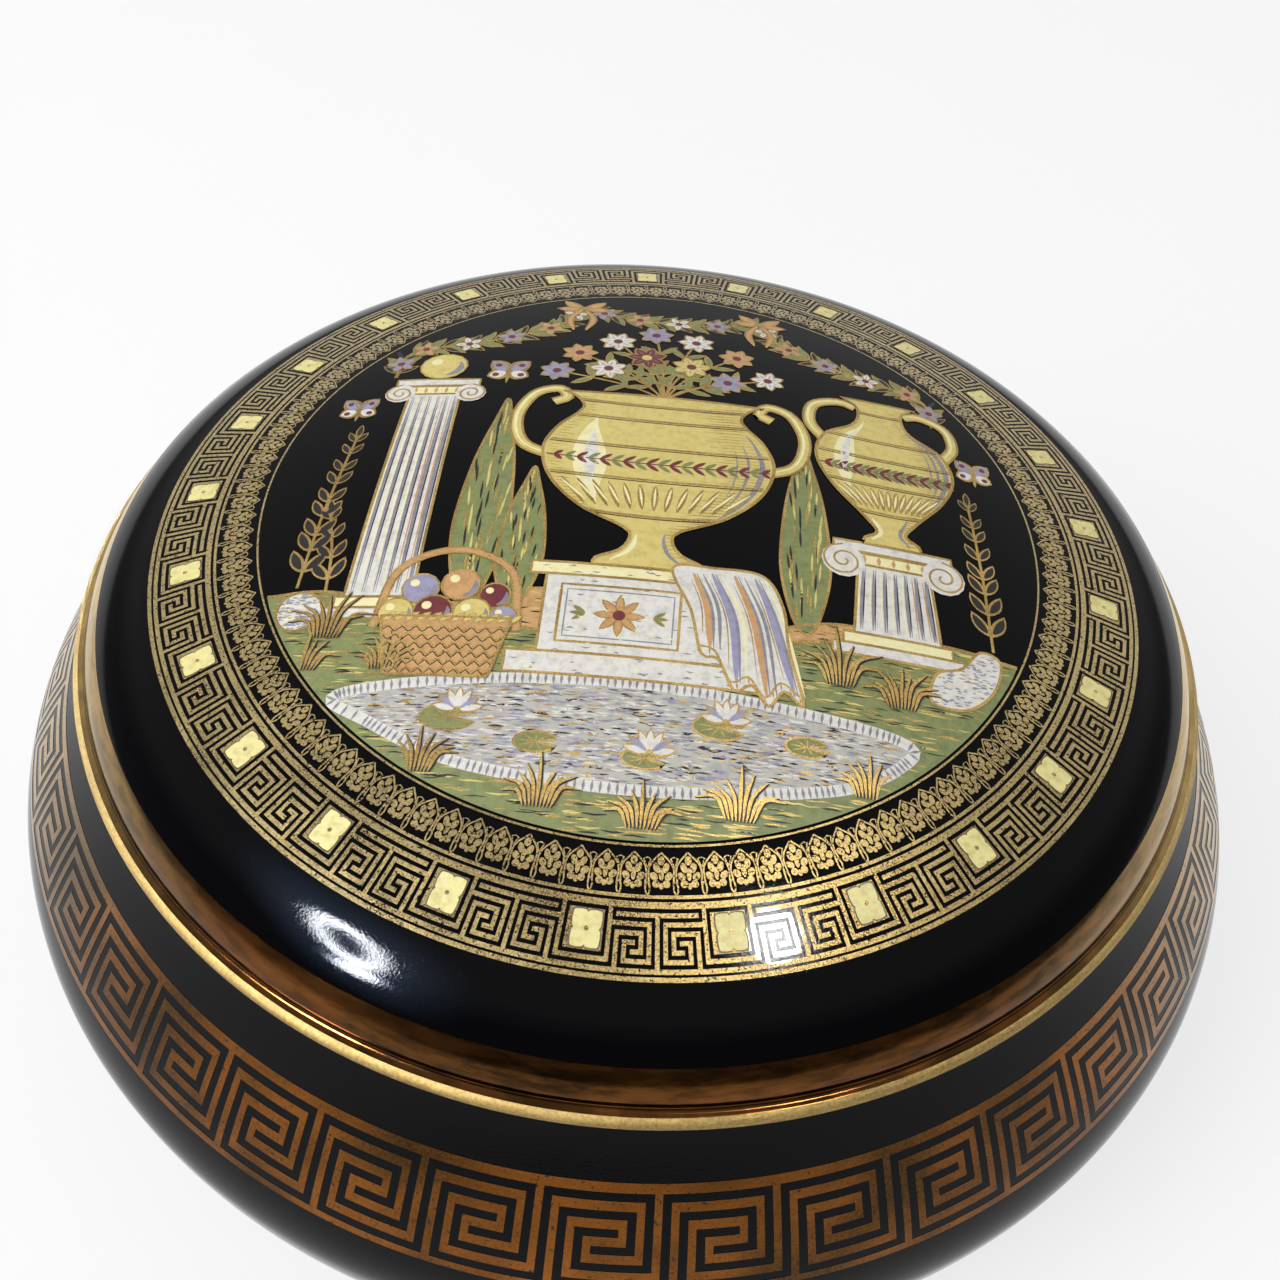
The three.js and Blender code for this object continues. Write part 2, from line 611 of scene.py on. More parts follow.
def turned(name: str, line: Sequence[Point], look: bpy.types.Material) -> bpy.types.Object:
    """Turns a line about the upright axis, with its right side facing out.

    Args:
        name: Name of the piece.
        line: Points as distance from the axis and height. An end on the axis closes the piece.
        look: Its material.

    Returns:
        The turned piece.
    """
    kept = [p for i, p in enumerate(line) if i == 0 or math.dist(p, line[i - 1]) > 1e-4]
    angles = np.arange(TURN_STEPS) * math.tau / TURN_STEPS
    points: list[tuple[float, float, float]] = []
    rings: list[list[int]] = []
    for radius, height in kept:
        start = len(points)
        if radius < 1e-6:
            points.append((0.0, 0.0, height))
            rings.append([start] * TURN_STEPS)
        else:
            points.extend((radius * math.cos(a), radius * math.sin(a), height) for a in angles)
            rings.append(list(range(start, start + TURN_STEPS)))
    faces = []
    for low, high in zip(rings, rings[1:]):
        for i in range(TURN_STEPS):
            j = (i + 1) % TURN_STEPS
            corners = dict.fromkeys((low[i], low[j], high[j], high[i]))
            faces.append(tuple(corners))
    return write_mesh(name, np.array(points), faces, look)


@dataclass
class Section:
    """Half section of a turned piece: named runs of points, from the axis out underneath and back."""

    runs: dict[str, list[Point]] = field(default_factory=dict)

    def line(self, *names: str) -> list[Point]:
        """Joins runs.

        Args:
            names: The runs in order, or none for all of them.

        Returns:
            Their points.
        """
        return [point for name in names or self.runs for point in self.runs[name]]


class Skin:
    """Outside of a turned piece. A place on it is an angle in degrees and a station down its section."""

    def __init__(self, line: Sequence[Point], stations: Sequence[float]) -> None:
        """Keeps the section from the top outwards and down.

        Args:
            line: Points as distance from the axis and height.
            stations: Rising station of each point.
        """
        self.stations = np.array(stations)
        self.line = np.array(line)
        slope = np.gradient(self.line, self.stations, axis=0)
        self.sides = np.stack([-slope[:, 1], slope[:, 0]], 1)

    def between(self, values: np.ndarray, stations: np.ndarray) -> np.ndarray:
        """Reads two columns of values at stations.

        Args:
            values: Two values for each point of the section.
            stations: The stations.

        Returns:
            Two values for each station.
        """
        return np.stack([np.interp(stations, self.stations, values[:, k]) for k in (0, 1)], 1)

    def wrap(self, places: np.ndarray, lifts: np.ndarray) -> tuple[np.ndarray, np.ndarray]:
        """Finds places in space.

        Args:
            places: Angle in degrees and station of each place.
            lifts: Height of each place above the skin.

        Returns:
            The points and their outward normals.
        """
        turns = np.radians(places[:, 0])
        sides = self.between(self.sides, places[:, 1])
        sides /= np.linalg.norm(sides, axis=1)[:, None]
        flat = self.between(self.line, places[:, 1]) + lifts[:, None] * sides
        spin = np.stack([np.cos(turns), np.sin(turns)], 1)
        points = np.column_stack([flat[:, :1] * spin, flat[:, 1]])
        return points, np.column_stack([sides[:, :1] * spin, sides[:, 1]])


@dataclass
class Patch:
    """Flat points and faces, before they are laid on a skin."""

    points: np.ndarray
    faces: list[tuple[int, ...]]

    def turned(self, degrees: float) -> Patch:
        """Turns the patch about the origin.

        Args:
            degrees: Angle of the turn.

        Returns:
            The turned patch.
        """
        c, s = math.cos(math.radians(degrees)), math.sin(math.radians(degrees))
        return Patch(self.points @ np.array([[c, s], [-s, c]]), self.faces)


def spaced(line: Sequence[Point], spacing: float, closed: bool) -> np.ndarray:
    """Adds points to the straight stretches of a line.

    Args:
        line: The line.
        spacing: Longest step that is left.
        closed: True if the last point is followed by the first.

    Returns:
        The finer line.
    """
    ends = list(line[1:]) + ([line[0]] if closed else [])
    found = []
    for a, b in zip(line, ends):
        count = max(1, math.ceil(math.dist(a, b) / spacing))
        found.extend(np.array(a) + (np.array(b) - np.array(a)) * i / count for i in range(count))
    if not closed:
        found.append(np.array(line[-1]))
    return np.array(found, float)


def smooth(knots: Sequence[Point], closed: bool = False, spacing: float = 0.7) -> list[Point]:
    """Draws a round curve through knots.

    Args:
        knots: Points that the curve passes through.
        closed: True for a loop.
        spacing: Step between points on the curve.

    Returns:
        Points on the curve.
    """
    p = [np.array(k, float) for k in knots]
    around = [p[-1], *p, p[0], p[1]] if closed else [2 * p[0] - p[1], *p, 2 * p[-1] - p[-2]]
    found = []
    for a, b, c, d in zip(around, around[1:], around[2:], around[3:]):
        count = max(2, math.ceil(np.linalg.norm(c - b) / spacing))
        for t in (i / count for i in range(count)):
            bend = 2 * b + (c - a) * t + (2 * a - 5 * b + 4 * c - d) * t * t
            found.append(tuple((bend + (3 * b - a - 3 * c + d) * t**3) / 2))
    if not closed:
        found.append(tuple(p[-1]))
    return found


def ribbon(line: Sequence[Point], width: float | Sequence[float], closed: bool = False) -> Patch:
    """Strip along a line.

    Args:
        line: Middle of the strip.
        width: Its width, or its width at each point.
        closed: True if the strip runs back into itself.

    Returns:
        The strip.
    """
    middle = np.array(line, float)
    if closed:
        steps = np.roll(middle, -1, 0) - np.roll(middle, 1, 0)
    else:
        steps = np.gradient(middle, axis=0)
    lengths = np.maximum(np.linalg.norm(steps, axis=1), 1e-9)
    half = np.broadcast_to(np.array(width, float) / 2, lengths.shape)
    sides = np.stack([-steps[:, 1], steps[:, 0]], 1) * (half / lengths)[:, None]
    count = len(middle)
    pairs = range(count if closed else count - 1)
    faces = [(i, (i + 1) % count, (i + 1) % count + count, i + count) for i in pairs]
    return Patch(np.concatenate([middle + sides, middle - sides]), faces)


def inside(points: np.ndarray, outline: np.ndarray) -> np.ndarray:
    """Tests which points lie in an outline.

    Args:
        points: The points.
        outline: Corners of the outline.

    Returns:
        True for each point inside.
    """
    found = np.zeros(len(points), bool)
    for a, b in zip(outline, np.roll(outline, -1, 0)):
        if a[1] == b[1]:
            continue
        crosses = (a[1] > points[:, 1]) != (b[1] > points[:, 1])
        at = a[0] + (points[:, 1] - a[1]) * (b[0] - a[0]) / (b[1] - a[1])
        found ^= crosses & (points[:, 0] < at)
    return found


def filled(outline: Sequence[Point], pitch: float = 1.3) -> Patch:
    """Fills an outline with small triangles, so that it can bend over a dome.

    Args:
        outline: Its corners.
        pitch: Distance between the points inside.

    Returns:
        The filled patch.
    """
    edge = spaced(outline, pitch, True)
    low, high = edge.min(0), edge.max(0)
    across, up = (np.arange(low[k] + pitch / 2, high[k], pitch) for k in (0, 1))
    grid = np.stack(np.meshgrid(across, up), -1).reshape(-1, 2)
    grid = grid[inside(grid, edge)] if len(grid) else grid
    clear = [g for g in grid if np.min(np.linalg.norm(edge - g, axis=1)) > pitch * 0.35]
    corners = [Vector(p) for p in (*edge, *clear)]
    made = delaunay_2d_cdt(corners, [], [list(range(len(edge)))], 1, 1e-5)
    return Patch(np.array([tuple(p) for p in made[0]]), [tuple(f) for f in made[2]])


class Sheet:
    """Fired layer of one finish, gathered flat and then written on a skin as one mesh."""

    def __init__(self, skin: Skin, flat: bool) -> None:
        """Starts an empty sheet.

        Args:
            skin: Surface that it lies on.
            flat: True if its places are x and y from above, false if they are angle and station.
        """
        self.skin = skin
        self.flat = flat
        self.places: list[np.ndarray] = []
        self.lifts: list[np.ndarray] = []
        self.faces: list[tuple[int, ...]] = []
        self.count = 0

    def add(self, patch: Patch, lift: float) -> None:
        """Adds a patch.

        Args:
            patch: The patch.
            lift: Its height above the skin.
        """
        self.faces.extend(tuple(i + self.count for i in face) for face in patch.faces)
        self.places.append(patch.points)
        self.lifts.append(np.full(len(patch.points), lift))
        self.count += len(patch.points)

    def build(self, name: str, look: bpy.types.Material, body: str, slot: str) -> None:
        """Writes the sheet as one piece.

        Args:
            name: Name of the piece.
            look: Its material.
            body: Body that it rides on.
            slot: Material slot that it belongs to.
        """
        places = np.concatenate(self.places)
        if self.flat:
            angles = np.degrees(np.arctan2(places[:, 1], places[:, 0]))
            places = np.stack([angles, np.linalg.norm(places, axis=1)], 1)
        points, normals = self.skin.wrap(places, np.concatenate(self.lifts))
        faces = []
        for face in self.faces:
            a, b, c = (points[i] for i in face[:3])
            outwards = np.dot(np.cross(b - a, c - b), normals[face[0]]) > 0
            faces.append(face if outwards else face[::-1])
        piece = write_mesh(name, points, faces, look, normals)
        settle(piece, body, slot)


def settle(piece: bpy.types.Object, body: str, slot: str, *nodes: str) -> None:
    """Puts a piece on its body.

    Args:
        piece: The piece.
        body: Body that it rides on.
        slot: Not used.
        nodes: Solids that it stands for.
    """
    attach(piece, body)
    if nodes:
        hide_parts(*nodes)
    log.info("%s: %d faces on %s", piece.name, len(piece.data.polygons), body)


@dataclass(frozen=True)
class KeyUnit:
    """One repeat of a key band on squared paper: the paths of its black lines on a gold ground."""

    columns: int
    rows: int
    lines: tuple[tuple[Point, ...], ...]

    def marked(self) -> set[tuple[int, int]]:
        """Finds the cells that the lines cover.

        Returns:
            Cells on a grid twice as fine, where even numbers are lines and odd ones the gaps.
        """
        cells = set()
        for path in self.lines:
            for a, b in zip(path, path[1:]):
                length = 2 * (abs(b[0] - a[0]) + abs(b[1] - a[1]))
                for i in range(length + 1):
                    across, down = (round(2 * (a[k] + (b[k] - a[k]) * i / length)) for k in (0, 1))
                    cells.add((across % (2 * self.columns), down))
        return cells


@dataclass(frozen=True)
class KeyBand:
    """Gold band with a key pattern reserved in it, so that the black glaze shows as lines."""

    name: str
    unit: KeyUnit
    repeats: int
    start_degrees: float
    inner: float
    first_row: float
    pitch: float
    row_line: float
    column_line: float
    borders: tuple[float, ...]
    lift: float = 0.03

    def stations(self) -> list[float]:
        """Lists the edges of the rows.

        Returns:
            The inner edge, both edges of each line row, and the edges of the outer borders.
        """
        rows = (self.first_row + self.pitch * row for row in range(self.unit.rows))
        lines = [row + side * self.row_line / 2 for row in rows for side in (-1, 1)]
        return [self.inner, *lines, *self.borders]

    def angles(self) -> list[float]:
        """Lists the edges of the columns.

        Returns:
            Both edges of each line column, round the whole band.
        """
        pitch = 360 / (self.repeats * self.unit.columns)
        columns = (self.start_degrees + pitch * i for i in range(self.repeats * self.unit.columns))
        return [column + side * pitch * self.column_line / 2 for column in columns for side in (-1, 1)]

    def patch(self) -> Patch:
        """Lays the gold cells out.

        Returns:
            The band, as angles in degrees and stations.
        """
        stations, angles = self.stations(), self.angles()
        marked = self.unit.marked()
        last_line = 2 * self.unit.rows - 1
        around, down = len(angles), len(stations)
        points = np.array([(angle, station) for station in stations for angle in angles])
        faces = []
        for j in range(down - 1):
            plain = j == 0 or j > last_line
            if j > last_line and (j - last_line) % 2 == 0:
                continue
            for i in range(around):
                if plain or (i % (2 * self.unit.columns), j - 1) not in marked:
                    k = (i + 1) % around
                    near, far = j * around, (j + 1) * around
                    faces.append((near + i, near + k, far + k, far + i))
        return Patch(points, faces)

    def build(self, skin: Skin, look: bpy.types.Material, body: str) -> None:
        """Writes the band.

        Args:
            skin: Surface that it lies on.
            look: Its gold.
            body: Body that it rides on.
        """
        sheet = Sheet(skin, flat=False)
        sheet.add(used(self.patch()), self.lift)
        sheet.build(self.name, look, body, "gilding")


def used(patch: Patch) -> Patch:
    """Drops the points that no face uses.

    Args:
        patch: The patch.

    Returns:
        The same faces on fewer points.
    """
    kept = sorted({i for face in patch.faces for i in face})
    number = {old: new for new, old in enumerate(kept)}
    return Patch(patch.points[kept], [tuple(number[i] for i in face) for face in patch.faces])


BOWL_UNIT = KeyUnit(
    7,
    6,
    (
        ((0, 5), (0, 0), (6, 0), (6, 4), (2, 4), (2, 2), (4, 2)),
        ((3, 3), (5, 3), (5, 1), (1, 1), (1, 5), (7, 5)),
    ),
)
LID_KEY = (
    (0, 6), (0, 2), (4, 2), (4, 5), (2, 5), (2, 4), (3, 4), (3, 3), (1, 3), (1, 6),
    (5, 6), (5, 1), (0, 1), (0, 0), (11, 0), (11, 1), (6, 1), (6, 6), (10, 6), (10, 3),
    (8, 3), (8, 4), (9, 4), (9, 5), (7, 5), (7, 2), (11, 2), (11, 6), (18, 6),
)
LID_FRAME = ((12, 0), (17, 0), (17, 5), (12, 5), (12, 0))
LID_UNIT = KeyUnit(18, 7, (LID_KEY, LID_FRAME))


@dataclass
class Bowl:
    """Base of the box: foot ring, rounded belly, steep shoulder with the key band, seat and collar."""

    belly_radius: float
    collar_top: float
    belly_height: float = 25.4
    belly_ease: float = 6.5
    shoulder_bulge: float = 0.35
    shoulder_reach: float = 0.3
    seat_radius: float = 59.4
    seat_round: float = 0.6
    foot_radius: float = 45.0
    foot_width: float = 3.6
    foot_height: float = 2.6
    foot_round: float = 0.7
    foot_fillet: float = 0.8
    wall: float = 4.0
    floor: float = 4.4
    collar_radius: float = 53.2
    collar_wall: float = 3.0
    collar_height: float = 3.6
    collar_round: float = 0.9
    collar_fillet: float = 0.4
    coat_lift: float = 0.02
    band_top: float = 5.24
    band_pitch: float = 1.75
    band_margin: float = 0.79
    band_foot: float = 0.65
    band_repeats: int = 40
    band_start: float = -3.06
    row_line: float = 0.47
    column_line: float = 0.53

    @classmethod
    def from_frame(cls) -> Bowl:
        """Takes the leading sizes from the solid.

        Returns:
            The bowl.
        """
        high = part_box("bowl")[1] / MM
        return cls(belly_radius=high.x, collar_top=high.z)

    def shoulder(self) -> list[Point]:
        """Draws the shoulder.

        Returns:
            Points from the widest ring up to the seat's edge.
        """
        belly = (self.belly_radius, self.belly_height)
        top = (self.seat_radius, self.collar_top - self.collar_height - self.seat_round)
        slope = (top[0] - belly[0], top[1] - belly[1])
        length = math.hypot(*slope)
        low = (belly[0], belly[1] + self.belly_ease)
        bulge = (slope[1] * self.shoulder_bulge / length, -slope[0] * self.shoulder_bulge / length)
        reach = self.shoulder_reach
        high = (top[0] - reach * slope[0] + bulge[0], top[1] - reach * slope[1] + bulge[1])
        return bezier((belly, low, high, top), 60)

    def section(self) -> Section:
        """Draws the whole section.

        Returns:
            The section in named runs.
        """
        seat = self.collar_top - self.collar_height
        inner = self.collar_radius - self.collar_wall
        foot_in = self.foot_radius - self.foot_width
        foot_r, fillet = self.foot_round, self.foot_fillet
        collar_r, round_top = self.collar_round, self.collar_top - self.collar_round
        reach = self.belly_radius - self.foot_radius
        mouth, floor = seat - self.wall, self.foot_height + self.floor
        middle = (self.foot_radius, self.belly_height)
        under = arc(middle, reach, self.belly_height - self.foot_height, -90, 0, 48)
        wall = [p for p in outward(self.shoulder(), -self.wall) if p[1] < mouth]
        hollow = arc(middle, reach - self.wall, self.belly_height - floor, 0, -90, 36)
        rim = self.seat_radius - self.seat_round
        edge, bend = self.seat_round, self.collar_fillet
        return Section(
            {
                "recess": [(0.0, self.foot_height), (foot_in, self.foot_height)],
                "foot": [
                    *arc((foot_in + foot_r, foot_r), foot_r, foot_r, 180, 270),
                    *arc((self.foot_radius - foot_r, foot_r), foot_r, foot_r, 270, 360),
                    *arc((self.foot_radius + fillet, self.foot_height - fillet), fillet, fillet, 180, 90),
                ],
                "underside": [p for p in under if p[0] > self.foot_radius + fillet],
                "shoulder": self.shoulder(),
                "seat": [
                    *arc((rim, seat - edge), edge, edge, 0, 90),
                    *arc((self.collar_radius + bend, seat + bend), bend, bend, 270, 180),
                ],
                "collar": [
                    *arc((self.collar_radius - collar_r, round_top), collar_r, collar_r, 0, 90),
                    *arc((inner + collar_r, round_top), collar_r, collar_r, 90, 180),
                ],
                "hollow": [
                    *arc((inner + collar_r, mouth + collar_r), collar_r, collar_r, 180, 270),
                    *wall[::-1],
                    *hollow,
                    (0.0, floor),
                ],
            }
        )

    def skin(self) -> Skin:
        """Outside of the shoulder, with stations as lengths from the seat's edge down.

        Returns:
            The skin.
        """
        line = self.shoulder()[::-1]
        steps = [math.dist(a, b) for a, b in zip(line, line[1:])]
        return Skin(line, np.concatenate([[0.0], np.cumsum(steps)]))

    def build(self) -> None:
        """Builds the bowl and its coats."""
        section = self.section()
        body = turned("bowl_glaze_body", section.line(), BLACK_GLAZE.material())
        settle(body, "base", "bowl_glaze", "bowl")
        lining = outward(section.line("hollow"), self.coat_lift)
        lining[-1] = (0.0, lining[-1][1])
        seat = outward(section.line("seat", "collar"), self.coat_lift)
        foot = outward(section.line("foot"), self.coat_lift)
        bare = BARE_PORCELAIN.material()
        # Each slice ends its bare coat on a rounded edge, where the glaze begins.
        for name, line, look, slot in (
            ("bowl_lining", lining, WHITE_GLAZE.material(), "white_glaze"),
            ("bowl_seat_and_collar", seat[3:], bare, "bisque"),
            ("bowl_foot_ring", foot[2:-6], bare, "bisque"),
        ):
            settle(turned(name, line, look), "base", slot)
        self.band().build(self.skin(), BOWL_GOLD.material(), "base")

    def band(self) -> KeyBand:
        """Lays out the key band of the shoulder.

        Returns:
            The band.
        """
        first = self.band_top + self.band_margin * self.band_pitch
        last = first + (BOWL_UNIT.rows - 1 + self.band_foot) * self.band_pitch
        return KeyBand(
            name="bowl_key_band",
            unit=BOWL_UNIT,
            repeats=self.band_repeats,
            start_degrees=self.band_start,
            inner=self.band_top,
            first_row=first,
            pitch=self.band_pitch,
            row_line=self.row_line * self.band_pitch,
            column_line=self.column_line,
            borders=(last,),
        )


@dataclass
class Lid:
    """Cover of the box: domed panel, round shoulder, gilt neck and half-round lip."""

    lip_radius: float
    rest: float
    top: float
    panel_radius: float = 51.2
    panel_height: float = 8.5
    shoulder_fullness: float = 3.0
    neck_radius: float = 58.7
    neck_height: float = 2.2
    neck_lean: float = 15.0
    lip_thickness: float = 1.5
    lip_fillet: float = 0.5
    wall: float = 3.8
    corner_round: float = 2.6
    edge_round: float = 0.5
    hollow_radius: float = 53.8
    coat_lift: float = 0.02
    gold_line: float = 51.45

    @classmethod
    def from_frame(cls) -> Lid:
        """Takes the leading sizes from the solid.

        Returns:
            The lid.
        """
        low, high = (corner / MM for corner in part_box("lid"))
        return cls(lip_radius=high.x, rest=low.z, top=high.z)

    def dome(self, drop: float, reach: float) -> list[Point]:
        """Draws the dome, or the hollow under it.

        Args:
            drop: Distance under the outer face.
            reach: Distance from the axis to which it is drawn.

        Returns:
            Points from the axis outwards.
        """
        rise = self.top - self.rest - self.panel_height
        radius = (self.panel_radius**2 + rise**2) / (2 * rise)
        end = math.degrees(math.acos(reach / (radius - drop)))
        return arc((0.0, self.top - radius), radius - drop, radius - drop, 90, end, 60)

    def section(self) -> Section:
        """Draws the whole section.

        Returns:
            The section in named runs.
        """
        dome = self.dome(0.0, self.panel_radius)
        rim = dome[-1]
        fall = math.degrees(math.atan2(dome[-1][1] - dome[-2][1], dome[-1][0] - dome[-2][0]))
        neck = (self.neck_radius, self.rest + self.neck_height)
        corner_x = self.hollow_radius - self.corner_round
        corner = self.dome(self.wall + self.corner_round, corner_x)[-1]
        turn = 90 + fall
        half = self.lip_thickness / 2
        edge, lip_x = self.edge_round, self.lip_radius - half
        low_handle = toward(neck, 90 + self.neck_lean, self.shoulder_fullness)
        high_handle = toward(rim, fall, self.shoulder_fullness)
        fillet = (self.neck_radius + self.lip_fillet, self.rest + self.lip_thickness + self.lip_fillet)
        return Section(
            {
                "hollow": [
                    *self.dome(self.wall, corner_x),
                    *arc(corner, self.corner_round, self.corner_round, turn, 0),
                    (self.hollow_radius, self.rest + edge),
                ],
                "edge": arc((self.hollow_radius + edge, self.rest + edge), edge, edge, 180, 270),
                "lip": arc((lip_x, self.rest + half), half, half, -90, 90, 16),
                "fillet": arc(fillet, self.lip_fillet, self.lip_fillet, 270, 180),
                "neck": bezier((neck, low_handle, high_handle, rim), 40),
                "dome": dome[::-1],
            }
        )

    def skin(self) -> Skin:
        """Outside of the lid, with stations as distances from the axis.

        Returns:
            The skin.
        """
        section = self.section()
        line = [*section.line("dome")[::-1], *section.line("neck")[::-1][1:]]
        return Skin(line, [point[0] for point in line])

    def build(self) -> None:
        """Builds the lid, its coats and the gold of its neck and lip."""
        section = self.section()
        body = turned("lid_glaze_body", section.line(), BLACK_GLAZE.material())
        settle(body, "cover", "lid_glaze", "lid")
        lining = outward(section.line("hollow"), self.coat_lift)
        lining[0] = (0.0, lining[0][1])
        edge = outward([*section.line("edge"), section.runs["lip"][0]], self.coat_lift)
        bead = section.runs["lip"]
        neck = [p for p in [*bead[-4:], *section.line("fillet", "neck")] if p[1] < self.gold_line]
        lip = outward(bead, self.coat_lift * 1.5)
        # The slice ends the gold of the lip just short of its underside and of the fillet.
        for name, line, look, slot in (
            ("lid_lining", lining, WHITE_GLAZE, "white_glaze"),
            ("lid_bare_edge", edge, BARE_PORCELAIN, "bisque"),
            ("lid_neck_gilding", outward(neck, self.coat_lift), NECK_GOLD, "gilding"),
            ("lid_lip_gilding", lip[2:-1], LIP_GOLD, "gilding"),
        ):
            settle(turned(name, line, look.material()), "cover", slot)


# Lobes of a palmette: place across and down, half width, half height, and lean in degrees.
PALMETTE_LOBES = (
    (0.0, 0.7, 0.3, 0.4, 0),
    (0.4, 1.3, 0.27, 0.46, 18),
    (0.62, 2.02, 0.3, 0.4, 40),
    (0.44, 2.66, 0.33, 0.32, 20),
    (0.0, 1.86, 0.21, 0.56, 0),
    (0.0, 2.84, 0.2, 0.28, 0),
)


@dataclass
class LidBands:
    """Rings of ornament on the lid: thin gold circle, palmettes, key band and cream squares."""

    skin: Skin
    circle_radius: float = 40.25
    circle_width: float = 0.2
    palmettes: int = 115
    palmette_tip: float = 40.8
    palmette_root: float = 44.0
    inner_line: tuple[float, float] = (44.39, 44.68)
    band_inner: float = 44.95
    first_row: float = 45.67
    pitch: float = 0.737
    borders: tuple[float, ...] = (50.67, 50.88, 51.27)
    start_degrees: float = -190.9
    repeats: int = 25
    square_half: Point = (1.22, 1.52)
    square_column: float = 14.7
    square_middle: float = 47.5
    square_eye: float = 0.2
    rim_width: float = 0.13
    line_share: float = 0.47
    ring_steps: int = 360
    lift: float = 0.03

    def ring(self, low: float, high: float) -> Patch:
        """Plain ring.

        Args:
            low: Its inner radius.
            high: Its outer radius.

        Returns:
            The ring.
        """
        middle = (low + high) / 2
        line = arc((0.0, 0.0), middle, middle, 0, 360, self.ring_steps)[:-1]
        return ribbon(line, high - low, closed=True)

    def palmette(self) -> list[Patch]:
        """Draws one palmette under its pointed arch, with the pod and the eyelet beside it.

        Returns:
            Its strokes, on the y axis at the back.
        """
        half = math.pi * (self.palmette_tip + self.palmette_root) / 2 / self.palmettes
        tip, root = self.palmette_tip, self.palmette_root
        strokes = []
        for across, down, width, height, lean in PALMETTE_LOBES:
            for side in (-1, 1) if across else (1,):
                strokes.append(filled(oval((side * across, tip + down), width, height, side * lean)))
        for side in (-1, 1):
            knots = [(side * (half - 0.13), root - 0.42), (side * half * 0.86, tip + 1.2), (0.0, tip)]
            strokes.append(ribbon(smooth(knots, spacing=0.5), 0.15))
        strokes.append(ribbon(arc((half, root - 0.2), 0.19, 0.52, 0, 360, 10)[:-1], 0.14, closed=True))
        eyelet = [(half - 0.3, tip + 0.52), (half, tip + 0.4), (half + 0.3, tip + 0.52), (half, tip + 1.25)]
        strokes.append(ribbon(eyelet, 0.13, closed=True))
        return strokes

    def square(self, rim: float = 0.0) -> Patch:
        """Draws a square with a scalloped edge.

        Args:
            rim: Width by which it is larger than the cream square on each side.

        Returns:
            The square, on the y axis at the back.
        """
        across, out = (half + rim for half in self.square_half)
        lobe = ((0.0, 0.86), (0.14, 0.97), (0.5, 1.0), (0.88, 0.96), (0.96, 0.88), (1.0, 0.5), (0.97, 0.14))
        corners = []
        for quarter in range(4):
            for x, y in lobe:
                turned_x, turned_y = ((x, y), (y, -x), (-x, -y), (-y, x))[quarter]
                corners.append((turned_x * across, self.square_middle + turned_y * out))
        return filled(corners)

    def build(self) -> None:
        """Builds the rings."""
        gold = BAND_GOLD.material()
        lines = Sheet(self.skin, flat=True)
        circle = self.circle_radius
        lines.add(self.ring(circle - self.circle_width / 2, circle + self.circle_width / 2), self.lift)
        lines.add(self.ring(*self.inner_line), self.lift)
        lines.build("lid_gold_circles", gold, "cover", "gilding")
        ring = Sheet(self.skin, flat=True)
        strokes = self.palmette()
        for i in range(self.palmettes):
            for stroke in strokes:
                ring.add(stroke.turned(360 * i / self.palmettes), self.lift)
        ring.build("lid_palmettes", gold, "cover", "gilding")
        KeyBand(
            name="lid_key_band",
            unit=LID_UNIT,
            repeats=self.repeats,
            start_degrees=self.start_degrees,
            inner=self.band_inner,
            first_row=self.first_row,
            pitch=self.pitch,
            row_line=self.line_share * self.pitch,
            column_line=self.line_share,
            borders=self.borders,
        ).build(self.skin, gold, "cover")
        dot = arc((0.0, self.square_middle), self.square_eye, self.square_eye, 0, 360, 12)[:-1]
        # The brown rims are painted shadow round the raised cream squares.
        parts = (
            ("lid_square_shadow_rims", self.square(self.rim_width), SHADOW_RIM_ENAMEL.material(), "cream_enamel"),
            ("lid_cream_squares", self.square(), CREAM_ENAMEL.material(), "cream_enamel"),
            ("lid_square_eyes", filled(dot), gold, "gilding"),
        )
        step = 360 / self.repeats
        for layer, (name, patch, look, slot) in enumerate(parts):
            sheet = Sheet(self.skin, flat=True)
            for i in range(self.repeats):
                middle = self.start_degrees + step * (i + self.square_column / LID_UNIT.columns)
                sheet.add(patch.turned(middle - 90), (1.6 + 0.5 * layer) * self.lift)
            sheet.build(name, look, "cover", slot)


def petal(start: Point, degrees: float, length: float, width: float, curl: float = 0.0) -> Patch:
    """Leaf or petal that ends in a point.

    Args:
        start: Where it springs from.
        degrees: Direction in which it starts.
        length: Its length.
        width: Its greatest width.
        curl: Degrees by which it turns along its length.

    Returns:
        The filled petal.
    """
    steps = 6
    line = [start]
    for i in range(steps):
        line.append(toward(line[-1], degrees + curl * (i + 0.5) / steps, length / steps))
    widths = [width * math.sin(math.pi * (0.06 + 0.94 * i / steps)) ** 0.8 for i in range(steps)]
    return ribbon(line, [*widths, 0.0])


def block(middle: float, half: float, low: float, high: float) -> list[Point]:
    """Corners of a level block round a middle line."""
    left, right = middle - half, middle + half
    return [(left, low), (right, low), (right, high), (left, high)]


